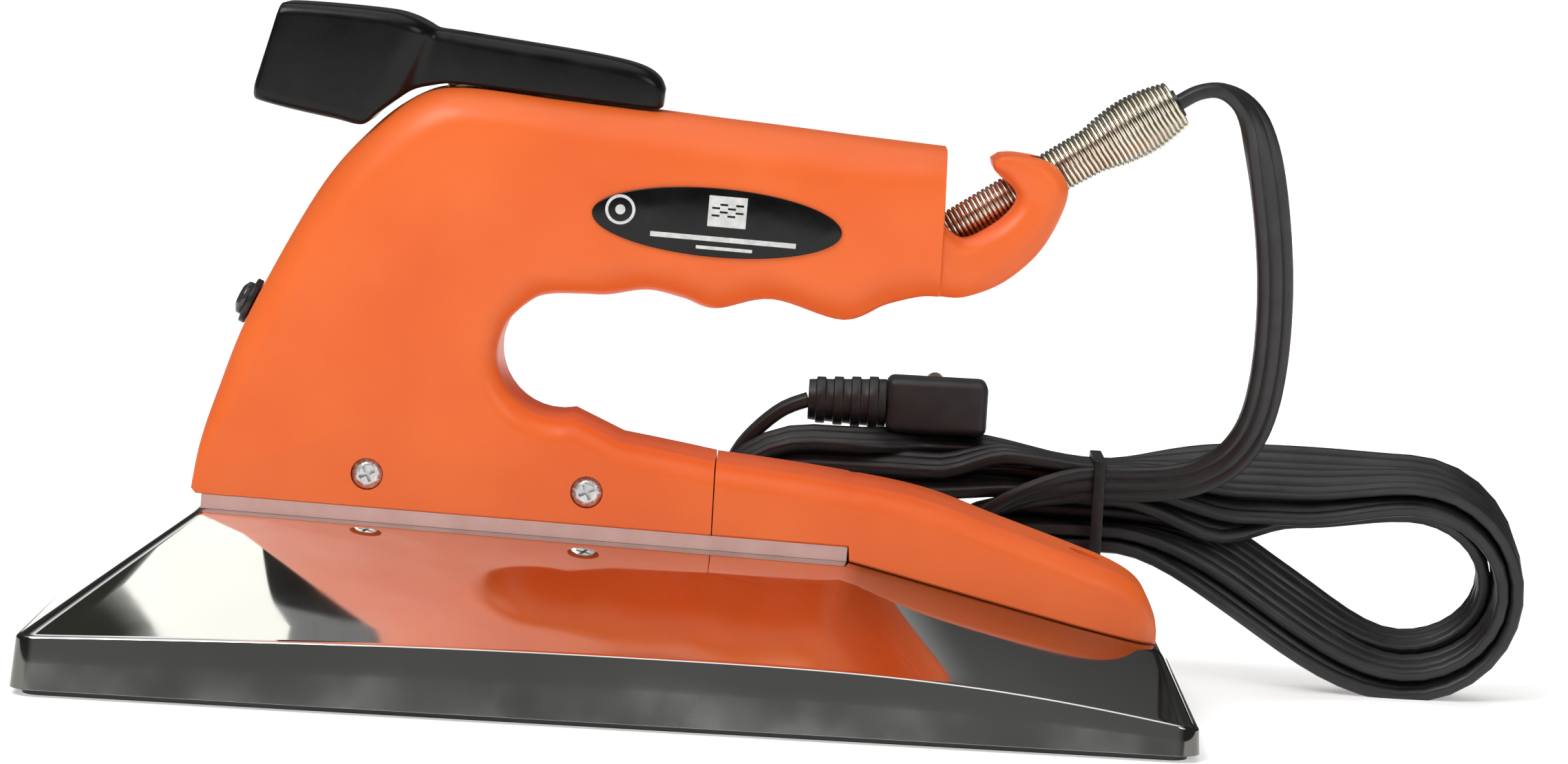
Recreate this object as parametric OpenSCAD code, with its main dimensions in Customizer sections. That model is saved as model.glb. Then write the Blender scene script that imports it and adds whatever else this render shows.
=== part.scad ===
// Carpet seaming iron: a heated sole under a chromed hood, with a C-shaped handle,
// a control lever, a spring strain relief and a flat mains cord tied in a hank.
// Millimetres. +X points to the rear, +Y to the far side, +Z up from the sole's face.

/* [Hood and sole] */
// Length of the hood over its skirt
hood_l = 280; // [250:1:340]
// Width of the hood over its skirt
hood_w = 120; // [110:1:150]
// Thickness of the hood's pressed steel
hood_t = 1.2; // [0.8:0.1:1.5]
// Radius of the skirt's upright corners
hood_corner = 6; // [4:0.5:9]
// Height of the skirt's lip at the nose
lip_front = 14; // [13:0.5:16]
// Height of the skirt's lip at the middle
lip_mid = 17.3; // [16:0.5:19]
// Height of the skirt's lip at the tail
lip_rear = 8; // [7.5:0.5:10]
// Width of the narrow ledge on top of the skirt
ledge = 2; // [1:0.1:3]
// Half of the width of the flat deck on top of the hood
deck_half = 20.5; // [20:0.5:24]
// Thickness of the sole plate
sole_t = 9; // [8:0.5:10]
// How far the sole stands below the skirt
sole_drop = 1.5; // [1:0.1:3]
// Gap between the sole's edge and the inside of the skirt
sole_gap = 0.6; // [0.3:0.1:1.5]
// Diameter of the tubular heating element
element_d = 8; // [7:0.5:8]
// Half of the distance between the element's two legs
element_half = 32; // [30:0.5:34]

/* [Handle] */
// Width of the handle
handle_w = 38; // [38:0.5:42]
// Wall of the handle's shells
wall = 2.6; // [2:0.1:3]
// Thickness of the insulating gasket
gasket_t = 3.5; // [3:0.5:4]
// Radius of the front end of the hand gap
gap_r = 15; // [13:0.5:16]
// Width of the badge
badge_w = 60; // [50:1:64]
// Height of the badge
badge_h = 16.5; // [14:0.5:18]
// Diameter of the heads of the foot screws
head_d = 7.3; // [7:0.1:7.6]

/* [Lever] */
// Half of the width of the lever's head
lever_head_half = 13; // [11:0.5:14]
// Half of the width of the lever's arm
lever_arm_half = 9.5; // [8:0.5:11]
// Diameter of the control shaft
shaft_d = 6; // [5:0.5:6]

/* [Cord] */
// Width of the flat cord
cord_w = 9; // [8:0.5:9]
// Thickness of the flat cord
cord_t = 3.6; // [3:0.1:4]
// Length of the spring outside the handle
spring_l = 66; // [60:1:70]
// Diameter of the spring's wire
spring_wire = 1.1; // [0.9:0.1:1.2]

/* [Fits] */
// Radial clearance of screws and shafts in their holes
fit = 0.05; // [0.02:0.01:0.09]

/* [Hidden] */
$fn = 48;

// Deck of the hood: nose, bend and tail as [x, z]
nose = [-101, 41.5];
bend = [55, 37.5];
tail = [132, 20];
deck_tilt = atan((nose[1] - bend[1]) / (bend[0] - nose[0]));
tail_tilt = atan((bend[1] - tail[1]) / (tail[0] - bend[0]));
skirt_z = sole_drop;
half_l = hood_l / 2;
half_w = hood_w / 2;
hw = handle_w / 2;

function deck_z(x) = x < bend[0]
    ? nose[1] - tan(deck_tilt) * (x - nose[0])
    : bend[1] - tan(tail_tilt) * (x - bend[0]);
function foot_z(x) = nose[1] - tan(deck_tilt) * (x - nose[0]) + gasket_t / cos(deck_tilt);
// Lip height along the hood: two half waves that meet at the middle
function lip_z(x) = x < 0
    ? lip_front + (lip_mid - lip_front) * cos(90 * min(1, -x / half_l))
    : lip_rear + (lip_mid - lip_rear) * cos(90 * min(1, pow(x / half_l, 1.6)));
function mix(a, b, t) = a * (1 - t) + b * t;

// Stacks rings of equal length into one closed solid. Each end is closed by strips between
// the first half of its ring and the second half taken backwards.
module loft(rings) {
    n = len(rings[0]);
    m = len(rings);
    h = n / 2;
    sides = [for (i = [0:m - 2], j = [0:n - 1]) let (k = (j + 1) % n)
        each [[i * n + j, (i + 1) * n + j, (i + 1) * n + k], [i * n + j, (i + 1) * n + k, i * n + k]]];
    function cap(b, flip) = [for (j = [0:h - 2])
        let (p = b + j, q = b + j + 1, r = b + n - 2 - j, s = b + n - 1 - j)
        each (flip ? [[p, r, q], [p, s, r]] : [[p, q, r], [p, r, s]])];
    polyhedron([for (r = rings) each r],
        concat(sides, cap(0, false), cap((m - 1) * n, true)), convexity = 10);
}

// Smooth curve through the rows of a list, with s steps from each row to the next
function cr(a, b, c, d, t) = 0.5 * (2 * b + (c - a) * t + (2 * a - 5 * b + 4 * c - d) * t * t
    + (3 * b - a - 3 * c + d) * t * t * t);
function smooth_list(k, s) = let (n = len(k)) [for (i = [0:n - 2], j = [0:s - 1])
    cr(k[max(0, i - 1)], k[i], k[i + 1], k[min(n - 1, i + 2)], j / s)];
function path_of(k, s) = concat(smooth_list(k, s), [k[len(k) - 1]]);
function unit(v) = v / norm(v);

// Frames that follow the deck, the sloping tail, the lever's shaft and the spring
module on_deck() translate([nose[0], 0, nose[1]]) rotate([0, deck_tilt, 0]) children();
module on_tail() translate([bend[0], 0, bend[1]]) rotate([0, tail_tilt, 0]) children();
top_tilt = 4.1;
lever_at = [-43.4, 145.7];
lever_lift = 0.6;
module on_lever() translate([lever_at[0], 0, lever_at[1]]) rotate([0, top_tilt, 0]) children();
spring_at = [73.6, 116.1];
spring_rise = 32.5;
module on_spring() translate([spring_at[0], 0, spring_at[1]])
    rotate([0, 90 - spring_rise, 0]) children();

// ---------------------------------------------------------------- hood
side_steps = [0, 0.06, 0.13, 0.2, 0.28, 0.36, 0.44, 0.52, 0.6, 0.669, 0.75, 0.83, 0.91, 1];
corner_steps = [0, 30, 60, 90];
function half_ring(x0, x1, hy, r) = concat(
    [for (a = corner_steps) [x0 + r - r * cos(a), -hy + r - r * sin(a)]],
    [for (s = side_steps) if (s > 0 && s < 1) [mix(x0 + r, x1 - r, s), -hy]],
    [for (a = corner_steps) [x1 - r + r * sin(a), -hy + r - r * cos(a)]]);
function both(h) = concat(h, [for (i = [len(h) - 1:-1:0]) [h[i][0], -h[i][1], h[i][2]]]);
deck_corner = 2.5;
// One level of the hood: t is 0 at the lip and 1 at the deck's edge, w is the inset of the wall
function hood_level(t, w) =
    let (low = half_ring(-half_l + ledge + w, half_l - ledge - w, half_w - ledge - w,
            max(1, hood_corner - ledge)),
        high = half_ring(nose[0] + w / 3, tail[0] - w / 3, deck_half - w / 2, deck_corner),
        swell = 0.1 * sin(180 * t))
    both([for (i = [0:len(low) - 1])
        [mix(low[i][0], high[i][0], t), mix(low[i][1], high[i][1], t),
            mix(lip_z(low[i][0]) - 0.6 * w, deck_z(high[i][0]) - w, t) + swell]]);
function skirt_level(inset, z_share, w) =
    both([for (p = half_ring(-half_l + inset + w, half_l - inset - w, half_w - inset - w,
        max(1, hood_corner - inset))) [p[0], p[1], mix(skirt_z, lip_z(p[0]) - 0.5 * w, z_share)]]);
slope_steps = [0, 0.2, 0.4, 0.6, 0.8, 0.93, 1];
module hood() color("gainsboro") difference() {
    loft(concat(
        [for (i = [len(slope_steps) - 1:-1:0]) hood_level(slope_steps[i], hood_t)],
        [skirt_level(0, 0.9, hood_t), skirt_level(0.7, 0, hood_t - 0.7)],
        [skirt_level(0.6, 0, 0), skirt_level(0, 0.08, 0), skirt_level(0, 0.86, 0),
            skirt_level(0.35, 0.96, 0)],
        [for (t = slope_steps) hood_level(t, 0)]));
    on_deck() for (x = hood_screw_x) translate([x, 0, -8]) cylinder(h = 16, d = screw_d + 2 * fit);
    on_lever() translate([0, 0, -120]) cylinder(h = 30, d = shaft_hole_d);
    on_tail() {
        translate([grommet_x, 0, -8]) cylinder(h = 16, d = grommet_d - 3);
        translate([tail_screw_x, 0, -8]) cylinder(h = 16, d = tail_screw_d + 2 * fit);
    }
}

// ---------------------------------------------------------------- sole and its fittings
hood_screw_x = [21, 100];
screw_d = 5;
shaft_hole_d = 11;
boss_d = 12;
boss_h = nose[1] - hood_t - 5;
tail_boss_h = 17;
element_x = [-80, 92];
pocket = [24, 20, 4];
// The sole's heel is thinner, to pass under the low rear end of the hood
heel_x = 118;
heel_t = 6.2;
module sole_plate() color("silver") difference() {
    union() {
        sole_l = hood_l - 2 * (hood_t + sole_gap);
        sole_w = hood_w - 2 * (hood_t + sole_gap);
        sole_r = hood_corner - hood_t;
        translate([0, 0, 1]) linear_extrude(sole_t - 1)
            rounded_rect(sole_l, sole_w, sole_r);
        linear_extrude(1) rounded_rect(sole_l - 2, sole_w - 2, sole_r);
        on_deck() for (x = hood_screw_x) translate([x, 0, -hood_t - boss_h])
            cylinder(h = boss_h, d = boss_d);
        on_tail() translate([tail_screw_x, 0, -hood_t - tail_boss_h])
            cylinder(h = tail_boss_h, d = 9);
    }
    translate([heel_x, -half_w, heel_t]) cube([half_l, hood_w, sole_t]);
    element_path(element_d + 0.2);
    for (s = [-1, 1]) translate([element_x[1], s * element_half - pocket[1] / 2,
        sole_t - pocket[2]]) cube([pocket[0], pocket[1], pocket[2] + 1]);
    on_deck() for (x = hood_screw_x) translate([x, 0, -hood_t - 16])
        cylinder(h = 17, d = screw_d + 2 * fit);
    on_tail() translate([tail_screw_x, 0, -hood_t - 10]) cylinder(h = 11, d = tail_screw_d + 2 * fit);
    for (x = clamp_x) translate([x, 0, sole_t - 6]) cylinder(h = 7, d = 4 + 2 * fit);
    for (s = [-1, 1]) translate([base_x + s * base_screw, 0, sole_t - 6])
        cylinder(h = 7, d = 3 + 2 * fit);
    translate([earth_at[0], earth_at[1], sole_t - 5]) cylinder(h = 6, d = 4 + 2 * fit);
}
module rounded_rect(l, w, r) union() {
    square([l - 2 * r, w], center = true);
    square([l, w - 2 * r], center = true);
    for (x = [-1, 1], y = [-1, 1]) translate([x * (l / 2 - r), y * (w / 2 - r)]) circle(r);
}
// The U of the element, lying half deep in the sole
module element_path(d) {
    translate([element_x[0], 0, sole_t]) rotate([0, 0, 90])
        rotate_extrude(angle = 180) translate([element_half, 0]) circle(d = d);
    for (s = [-1, 1]) translate([element_x[0], s * element_half, sole_t]) rotate([0, 90, 0])
        cylinder(h = element_x[1] - element_x[0], d = d);
}
module heating_element() color("dimgray") element_path(element_d);

clamp_x = [-30, 20, 76];
bar_t = 1.5;
clamp_z = sole_t + element_d / 2;
module clamp_bars() color("lightsteelblue") for (x = clamp_x) difference() {
    translate([x - 6, -element_half - 6, clamp_z]) cube([12, 2 * element_half + 12, bar_t]);
    translate([x, 0, clamp_z - 1]) cylinder(h = bar_t + 2, d = 4 + 2 * fit);
}
module clamp_screws() color("silver") for (x = clamp_x) {
    translate([x, 0, sole_t - 5]) cylinder(h = clamp_z + bar_t - sole_t + 5, d = 4);
    translate([x, 0, clamp_z + bar_t]) cylinder(h = 2.4, d = 7);
}
module element_terminals() color("wheat") for (s = [-1, 1])
    translate([element_x[1], s * element_half, sole_t]) rotate([0, 90, 0]) {
        cylinder(h = 5, d = element_d - 1);
        cylinder(h = 13, d = 2.5);
    }
board_z = clamp_z + bar_t;
board_t = 1.5;
module insulation_board() color("tan") difference() {
    translate([-116, -40, board_z]) cube([206, 80, board_t]);
    for (x = clamp_x) translate([x, 0, board_z - 1]) cylinder(h = board_t + 2, d = 9);
    on_deck() for (x = hood_screw_x) translate([x, 0, -35]) cylinder(h = 24, d = boss_d + 2);
    translate([base_x - 20, -15, board_z - 1]) cube([40, 30, board_t + 2]);
    translate([earth_at[0], earth_at[1], board_z - 1]) cylinder(h = board_t + 2, d = 12);
    translate([wire_hole[0] - 9, wire_hole[1] - 9, board_z - 1]) cube([18, 18, board_t + 2]);
}
wire_hole = [60, 22];
module hood_screws() color("silver") on_deck() for (x = hood_screw_x) translate([x, 0, 0]) {
    translate([0, 0, -14]) cylinder(h = 14 + gasket_t + bracket_t, d = screw_d);
    translate([0, 0, gasket_t + bracket_t]) cylinder(h = 3.4, d = 9.5);
}

// ---------------------------------------------------------------- gasket and bracket
gasket_l = (bend[0] - nose[0]) / cos(deck_tilt);
bracket_t = 1.5;
bracket_x = [8, 150];
bracket_half = 14;
tab_w = 12;
foot_screw_at = [[-61.4, 52], [-8.4, 50.6]];
module deck_gasket() color([0.79, 0.66, 0.64]) difference() {
    on_deck() translate([0, -hw + 0.2, 0]) cube([gasket_l, handle_w - 0.4, gasket_t]);
    on_deck() for (x = hood_screw_x) translate([x, 0, -1])
        cylinder(h = gasket_t + 2, d = screw_d + 2 * fit);
    on_lever() translate([0, 0, -120]) cylinder(h = 30, d = shaft_hole_d);
}
module mounting_bracket() color("lightgray") difference() {
    union() {
        on_deck() translate([bracket_x[0], -bracket_half, gasket_t])
            cube([bracket_x[1] - bracket_x[0], 2 * bracket_half, bracket_t]);
        for (p = foot_screw_at, s = [-1, 1]) on_deck()
            translate([p[0] - nose[0] - tab_w / 2, s * (bracket_half - bracket_t / 2) - bracket_t / 2,
                gasket_t]) cube([tab_w, bracket_t, 15]);
    }
    for (p = foot_screw_at) translate([p[0], bracket_half + 2, p[1]]) rotate([90, 0, 0])
        cylinder(h = 2 * bracket_half + 4, d = 4 + 2 * fit);
    on_deck() for (x = hood_screw_x) translate([x, 0, 0]) cylinder(h = 8, d = screw_d + 2 * fit);
    on_deck() for (x = clamp_bolt_x, s = [-1, 1]) translate([x, s * clamp_bolt_y, 0])
        cylinder(h = 8, d = 3 + 2 * fit);
    on_lever() translate([0, 0, -120]) cylinder(h = 30, d = shaft_hole_d);
}

// ---------------------------------------------------------------- handle
// The handle is one bent limb. Each row is a cross-section: outer edge x, z, inner edge x, z,
// outer and inner corner radius, and half width.
gap_at = [-16.7, 82.6];
function gap_front(a) = [gap_at[0] + gap_r * cos(a), gap_at[1] + gap_r * sin(a)];
function row(o, i, ro, ri, h) = [o[0], o[1], i[0], i[1], ro, ri, h];
function foot_row(x, i, ri) = row([x, foot_z(x)], i, 0.6, ri, hw);
foot_rows = [foot_row(22, [22, 59.3], 6), foot_row(0, [-1, 62.8], 6),
    foot_row(-22, gap_front(262), 6), foot_row(-44, gap_front(243), 6),
    foot_row(-66, gap_front(225), 6), foot_row(-88, gap_front(207), 6),
    foot_row(-102.4, gap_front(192), 6)];
limb_keys = [
    row([-103.6, foot_z(-103.6) + 1.2], gap_front(190), 1.2, 6, hw),
    row([-102.2, 57], gap_front(180), 4, 6, hw), row([-98.8, 69.6], gap_front(167), 7, 6, hw),
    row([-92, 89.3], gap_front(147), 9, 7, hw), row([-77.3, 118.8], gap_front(122), 11, 8, hw),
    row([-65.6, 134], gap_front(104), 12, 9, hw), row([-54.6, 143], [-12.5, 97.7], 12, 9, hw),
    row([-43.4, 145.7], [-6, 97.8], 12, 10, hw), row([-20, 144.1], [3.4, 99.5], 12, 10, hw),
    row([4, 142.4], [12, 98], 12, 10, hw), row([20, 141.2], [20, 95.9], 12, 10, hw),
    row([33.4, 140.3], [33.4, 98.9], 12, 10, hw), row([50.7, 139], [50.7, 94.9], 12, 10, hw),
    row([62, 138.2], [61, 99.2], 11, 10, hw), row([69, 137.7], [68.8, 101.6], 10, 9, hw),
    row([73.6, 137.4], [73.4, 102], 10, 8, hw)];
hook_keys = [
    row([73.8, 119.2], [73.8, 102], 3, 8, hw - 1), row([78.6, 116.4], [80, 102.3], 4, 6, hw - 2.5),
    row([84.8, 119.4], [89, 106.2], 5, 6, hw - 4), row([89.2, 123.4], [97, 113.6], 5, 6, hw - 5),
    row([90.8, 127], [101.8, 122.6], 4.5, 5, hw - 6), row([89.4, 129.6], [103.2, 130], 4.5, 5, hw - 6),
    row([86.8, 131.6], [99, 135.4], 4.5, 5, hw - 6), row([85, 133.4], [91, 136.9], 2.4, 2.6, hw - 6),
    row([84.6, 135.2], [86.6, 136.6], 0.7, 0.7, hw - 6.4)];
limb_steps = 2;
hook_steps = 3;
limb_rows = path_of(limb_keys, limb_steps);
solid_limb = 3;
handle_rows = concat(foot_rows, limb_rows, path_of(hook_keys, hook_steps));
hollow_count = len(foot_rows) + len(limb_rows) - solid_limb;

// Half of a section between its outer and inner edge, from the middle plane out and back
arc_steps = [0, 30, 60, 90];
function half_arc(d0, d1, ro, ri, h) = concat([[0, d0]],
    [for (a = arc_steps) [h - ro + ro * sin(a), d0 + ro - ro * cos(a)]],
    [for (a = arc_steps) [h - ri + ri * cos(a), d1 - ri + ri * sin(a)]], [[0, d1]]);
function middle_line(d, n) = [for (j = [0:n - 1]) [0, d * (0.06 + 0.88 * j / (n - 1))]];
function limb_ring(k, hollow) =
    let (o = [k[0], k[1]], i = [k[2], k[3]], d = norm(i - o), u = (i - o) / d,
        out = half_arc(0, d, k[4], k[5], k[6]),
        back = hollow ? half_arc(wall, d - wall, max(0.4, k[4] - wall), max(0.4, k[5] - wall),
            k[6] - wall) : middle_line(d, len(out)),
        flat = concat(out, [for (j = [len(back) - 1:-1:0]) back[j]]))
    [for (p = flat) [o[0] + u[0] * p[1], -p[0], o[1] + u[1] * p[1]]];
module half_limb() loft([for (i = [0:len(handle_rows) - 1])
    limb_ring(handle_rows[i], i < hollow_count)]);

foot_recess = 3;
grip_screw_at = [19.3, 117.3];
grip_boss_d = 10;
module handle_shell(near) difference() {
    union() {
        scale_y(near) half_limb();
        for (p = foot_screw_at) at_side(p, near) translate([0, 0, bracket_half + 0.05])
            cylinder(h = hw - foot_recess - bracket_half + 0.5, d = head_d + 5);
        at_side(grip_screw_at, near) cylinder(h = hw - wall + 0.3, d = grip_boss_d);
    }
    for (p = foot_screw_at) at_side(p, near) {
        cylinder(h = hw + 1, d = 4 + 2 * fit);
        translate([0, 0, hw - foot_recess]) cylinder(h = foot_recess + 1, d = head_d + 1.4);
    }
    at_side(grip_screw_at, near) {
        translate([0, 0, near ? -1 : -6]) cylinder(h = near ? hw + 2 : 16, d = 4 + 2 * fit);
        if (near) translate([0, 0, hw - 5]) cylinder(h = 6, d = 8.4);
    }
    on_deck() translate([6, -bracket_half - 1, -1])
        cube([bracket_x[1] - 6, 2 * bracket_half + 2, gasket_t + wall + 1.6]);
    on_lever() translate([0, 0, -14]) cylinder(h = 20, d = bush_d);
    pilot() translate([0, 0, -12]) cylinder(h = 20, d = pilot_d + 2 * fit);
    on_spring() translate([0, 0, -18]) cylinder(h = 20, d = collar_d);
    on_spring() cylinder(h = 62, d = channel_d);
}
module scale_y(near) mirror([0, near ? 0 : 1, 0]) children();
// Points +z of what follows out through the near or the far side, at [x, z]
module at_side(p, near) translate([p[0], 0, p[1]]) rotate([near ? 90 : -90, 0, 0]) children();
module handle_near() color([0.92, 0.42, 0.19]) handle_shell(true);
module handle_far() color([0.92, 0.42, 0.19]) handle_shell(false);
module foot_screws() color("silver") for (p = foot_screw_at, near = [true, false])
    at_side(p, near) difference() {
        union() {
            translate([0, 0, 6]) cylinder(h = hw - foot_recess - 6, d = 4);
            translate([0, 0, hw - foot_recess]) cylinder(h = 1.6, d = head_d);
            translate([0, 0, hw - foot_recess + 1.6]) cylinder(h = 0.9, d1 = head_d, d2 = head_d - 2.4);
        }
        for (a = [0, 90]) rotate([0, 0, a + 25]) translate([-2, -0.4, hw - foot_recess + 0.8])
            cube([4, 0.8, 3]);
    }
module grip_screw() color("silver") at_side(grip_screw_at, true) {
    translate([0, 0, -8]) cylinder(h = hw + 3, d = 4);
    translate([0, 0, hw - 5]) cylinder(h = 3, d = 7.6);
}
badge_t = 0.7;
module badge() color([0.08, 0.08, 0.09]) translate([grip_screw_at[0], -hw, grip_screw_at[1]])
    rotate([0, 1.8, 0]) rotate([90, 0, 0]) scale([badge_w / badge_h, 1, 1])
        cylinder(h = badge_t, d = badge_h);

// ---------------------------------------------------------------- tail cover
// Rows: x, height of the lower edge, height of the top, half width, radius of the top edges
tail_joint = 0.3;
tail_keys = [[22 + tail_joint, 59.2, hw, 6], [48, 56.8, hw, 6], [72.6, 53.2, hw, 6],
    [92, 47.1, hw, 6], [111.2, 41, hw - 0.6, 6], [121, 37.6, hw - 2.4, 5.5],
    [127, 33.8, hw - 5, 4.6], [130.2, 28.1, hw - 8.5, 3], [131.2, 24, hw - 10.5, 1.2]];
tail_step_x = 56;
tail_lift = 0.15;
function tail_low(x) = x < tail_step_x ? foot_z(x) : deck_z(x) + tail_lift;
tail_smooth = path_of(tail_keys, 2);
tail_front = [for (k = tail_smooth) if (k[0] < tail_step_x - 1) k];
tail_back = [for (k = tail_smooth) if (k[0] > tail_step_x + 2) k];
function tail_half(k, z0, w) =
    let (top = k[1] - w, h = k[2] - w, r = max(0.4, k[3] - w))
    concat([[h, z0], [h, mix(z0, top - r, 0.5)]],
        [for (a = arc_steps) [h - r + r * cos(a), top - r + r * sin(a)]], [[0, top]]);
function tail_full(k, z0, w) = let (a = tail_half(k, z0, w))
    concat([for (p = a) [k[0], p[0], p[1]]], [for (i = [len(a) - 2:-1:0]) [k[0], -a[i][0], a[i][1]]]);
function tail_floor(k, z0, n) = [for (j = [0:n - 1])
    [k[0], mix(k[2] - 0.8, 0.8 - k[2], j / (n - 1)), z0 + 0.05 + 0.3 * sin(180 * j / (n - 1))]];
function tail_ring(k, z0, hollow) =
    let (out = tail_full(k, z0, 0), back = hollow ? tail_full(k, z0, wall) : tail_floor(k, z0, len(out)))
    concat(out, [for (i = [len(back) - 1:-1:0]) back[i]]);
function tail_row(x) = let (t = (x - 48) / (72.6 - 48)) mix(tail_keys[1], tail_keys[2], t);
module tail_cover() color([0.92, 0.42, 0.19]) difference() {
    loft(concat([for (k = tail_front) tail_ring(k, tail_low(k[0]), true)],
        [tail_ring(tail_row(tail_step_x), foot_z(tail_step_x), true),
            tail_ring(tail_row(tail_step_x + 0.6), tail_low(tail_step_x + 0.6), true)],
        [for (k = tail_back) tail_ring(k, tail_low(k[0]), k[0] < 100)]));
    on_tail() translate([tail_screw_x, 0, -1]) cylinder(h = 40, d = tail_screw_d + 2 * fit);
    on_tail() translate([tail_screw_x, 0, tail_head_z]) cylinder(h = 30, d = 8);
}
tail_screw_x = 56;
tail_screw_d = 4;
tail_head_z = 9;
module tail_screw() color("silver") on_tail() translate([tail_screw_x, 0, 0]) {
    translate([0, 0, -8]) cylinder(h = 8 + tail_head_z, d = tail_screw_d);
    translate([0, 0, tail_head_z]) cylinder(h = 2.6, d = 7.3);
}

// ---------------------------------------------------------------- pilot lamp
pilot_d = 8;
pilot_at = [-91.7, 90];
pilot_turn = -66.5;
module pilot() translate([pilot_at[0], 0, pilot_at[1]]) rotate([0, pilot_turn, 0]) children();
module pilot_bezel() color([0.12, 0.12, 0.13]) pilot() difference() {
    union() {
        translate([0, 0, -9]) cylinder(h = 9.6, d = pilot_d);
        translate([0, 0, 0.6]) cylinder(h = 1.6, d = 11.5);
    }
    translate([0, 0, -10]) cylinder(h = 14, d = 6);
}
module pilot_lens() color([0.45, 0.45, 0.47]) pilot() {
    translate([0, 0, 2.2]) cylinder(h = 1.4, d = 8.4);
    translate([0, 0, 3.6]) cylinder(h = 1, d1 = 8.4, d2 = 5);
}
module pilot_bulb() color("orangered") pilot() translate([0, 0, -8]) cylinder(h = 8, d = 5.4);

// ---------------------------------------------------------------- thermostat and lever
base_x = -52.6;
base_screw = 12;
base_t = 5;
shaft_end = -127.4;
bridge_z = 24;
bridge_foot = 3.9;
bridge_t = 1.5;
module thermostat_base() color("ivory") difference() {
    translate([base_x - 16, -10, sole_t]) cube([32, 20, base_t]);
    for (s = [-1, 1]) translate([base_x + s * base_screw, 0, sole_t - 1])
        cylinder(h = base_t + 2, d = 3 + 2 * fit);
}
module thermostat_blades() color("goldenrod") {
    translate([base_x - 8, -7.5, sole_t + base_t]) cube([15, 5, 0.8]);
    translate([base_x - 8, 2.5, sole_t + base_t]) cube([15, 5, 0.8]);
    translate([base_x - 6, -7.5, sole_t + base_t + 0.8]) cube([3, 15, 1.6]);
    translate([base_x - 6, -7.5, sole_t + base_t + 2.4]) cube([12, 15, 0.6]);
}
module thermostat_bridge() color("silver") difference() {
    union() {
        for (s = [-1, 1]) translate([base_x + s * base_screw - bridge_foot, -6, sole_t + base_t])
            cube([2 * bridge_foot, 12, bridge_t]);
        for (s = [-1, 1]) translate([base_x + s * (base_screw + bridge_foot - bridge_t / 2)
            - bridge_t / 2, -6, sole_t + base_t]) cube([bridge_t, 12, bridge_z - sole_t - base_t]);
        translate([base_x - base_screw - bridge_foot, -6, bridge_z])
            cube([2 * (base_screw + bridge_foot), 12, bridge_t]);
        on_lever() translate([0, 0, shaft_end + 3.5]) cylinder(h = 8, d = 10);
    }
    for (s = [-1, 1]) translate([base_x + s * base_screw, 0, sole_t]) cylinder(h = 9, d = 3 + 2 * fit);
    on_lever() translate([0, 0, shaft_end - 4]) cylinder(h = 20, d = shaft_d + 2 * fit);
}
module thermostat_screws() color("silver") for (s = [-1, 1])
    translate([base_x + s * base_screw, 0, 0]) {
        translate([0, 0, sole_t - 5]) cylinder(h = base_t + 6.5, d = 3);
        translate([0, 0, sole_t + base_t + bridge_t]) cylinder(h = 2, d = 4.6);
    }
shaft_top = 9;
module control_shaft() color("silver") on_lever() difference() {
    union() {
        translate([0, 0, shaft_end]) cylinder(h = shaft_top - shaft_end, d = shaft_d);
        translate([0, 0, -16]) cylinder(h = 1, d = 10);
    }
    translate([0, 0, shaft_top - 8]) cylinder(h = 9, d = 2.5 + 2 * fit);
}
bush_d = 9;
module shaft_bush() color("darkgoldenrod") on_lever() difference() {
    union() {
        translate([0, 0, -8]) cylinder(h = 8.1, d = bush_d - 0.1);
        translate([0, 0, -8]) cylinder(h = 2, d = bush_d + 4);
    }
    translate([0, 0, -9]) cylinder(h = 12, d = shaft_d + 2 * fit);
}
// Lever profile beside the shaft's axis: a blocky head over the nose and a low arm behind it
head_profile = [[-50.6, -9], [-46.4, 14.6], [-15, 16], [-9, 13.4], [-3, 13.2], [-3, lever_lift],
    [-11, -1.5], [-17, -5.6], [-23, -11.2], [-26, -12.2]];
arm_profile = [[-10, lever_lift], [-10, 13.2], [37, 11.3], [44, 10.2], [48, 7.2], [48.4, 3.4],
    [46.6, lever_lift]];
module lever_slab(profile, half) rotate([90, 0, 0]) translate([0, 0, -half])
    linear_extrude(2 * half) polygon(profile);
module control_lever() color([0.1, 0.1, 0.1]) on_lever() difference() {
    union() {
        lever_slab(head_profile, lever_head_half);
        lever_slab(arm_profile, lever_arm_half);
    }
    translate([0, 0, -2]) cylinder(h = shaft_top + 2, d = shaft_d + 2 * fit);
    translate([0, 0, shaft_top - 1]) cylinder(h = 8, d = 2.5 + 2 * fit);
    translate([0, 0, shaft_top + 2]) cylinder(h = 8, d = 6);
}
module lever_screw() color("silver") on_lever() {
    translate([0, 0, shaft_top - 7]) cylinder(h = 9, d = 2.5);
    translate([0, 0, shaft_top + 2]) cylinder(h = 1.6, d = 5);
}

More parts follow.
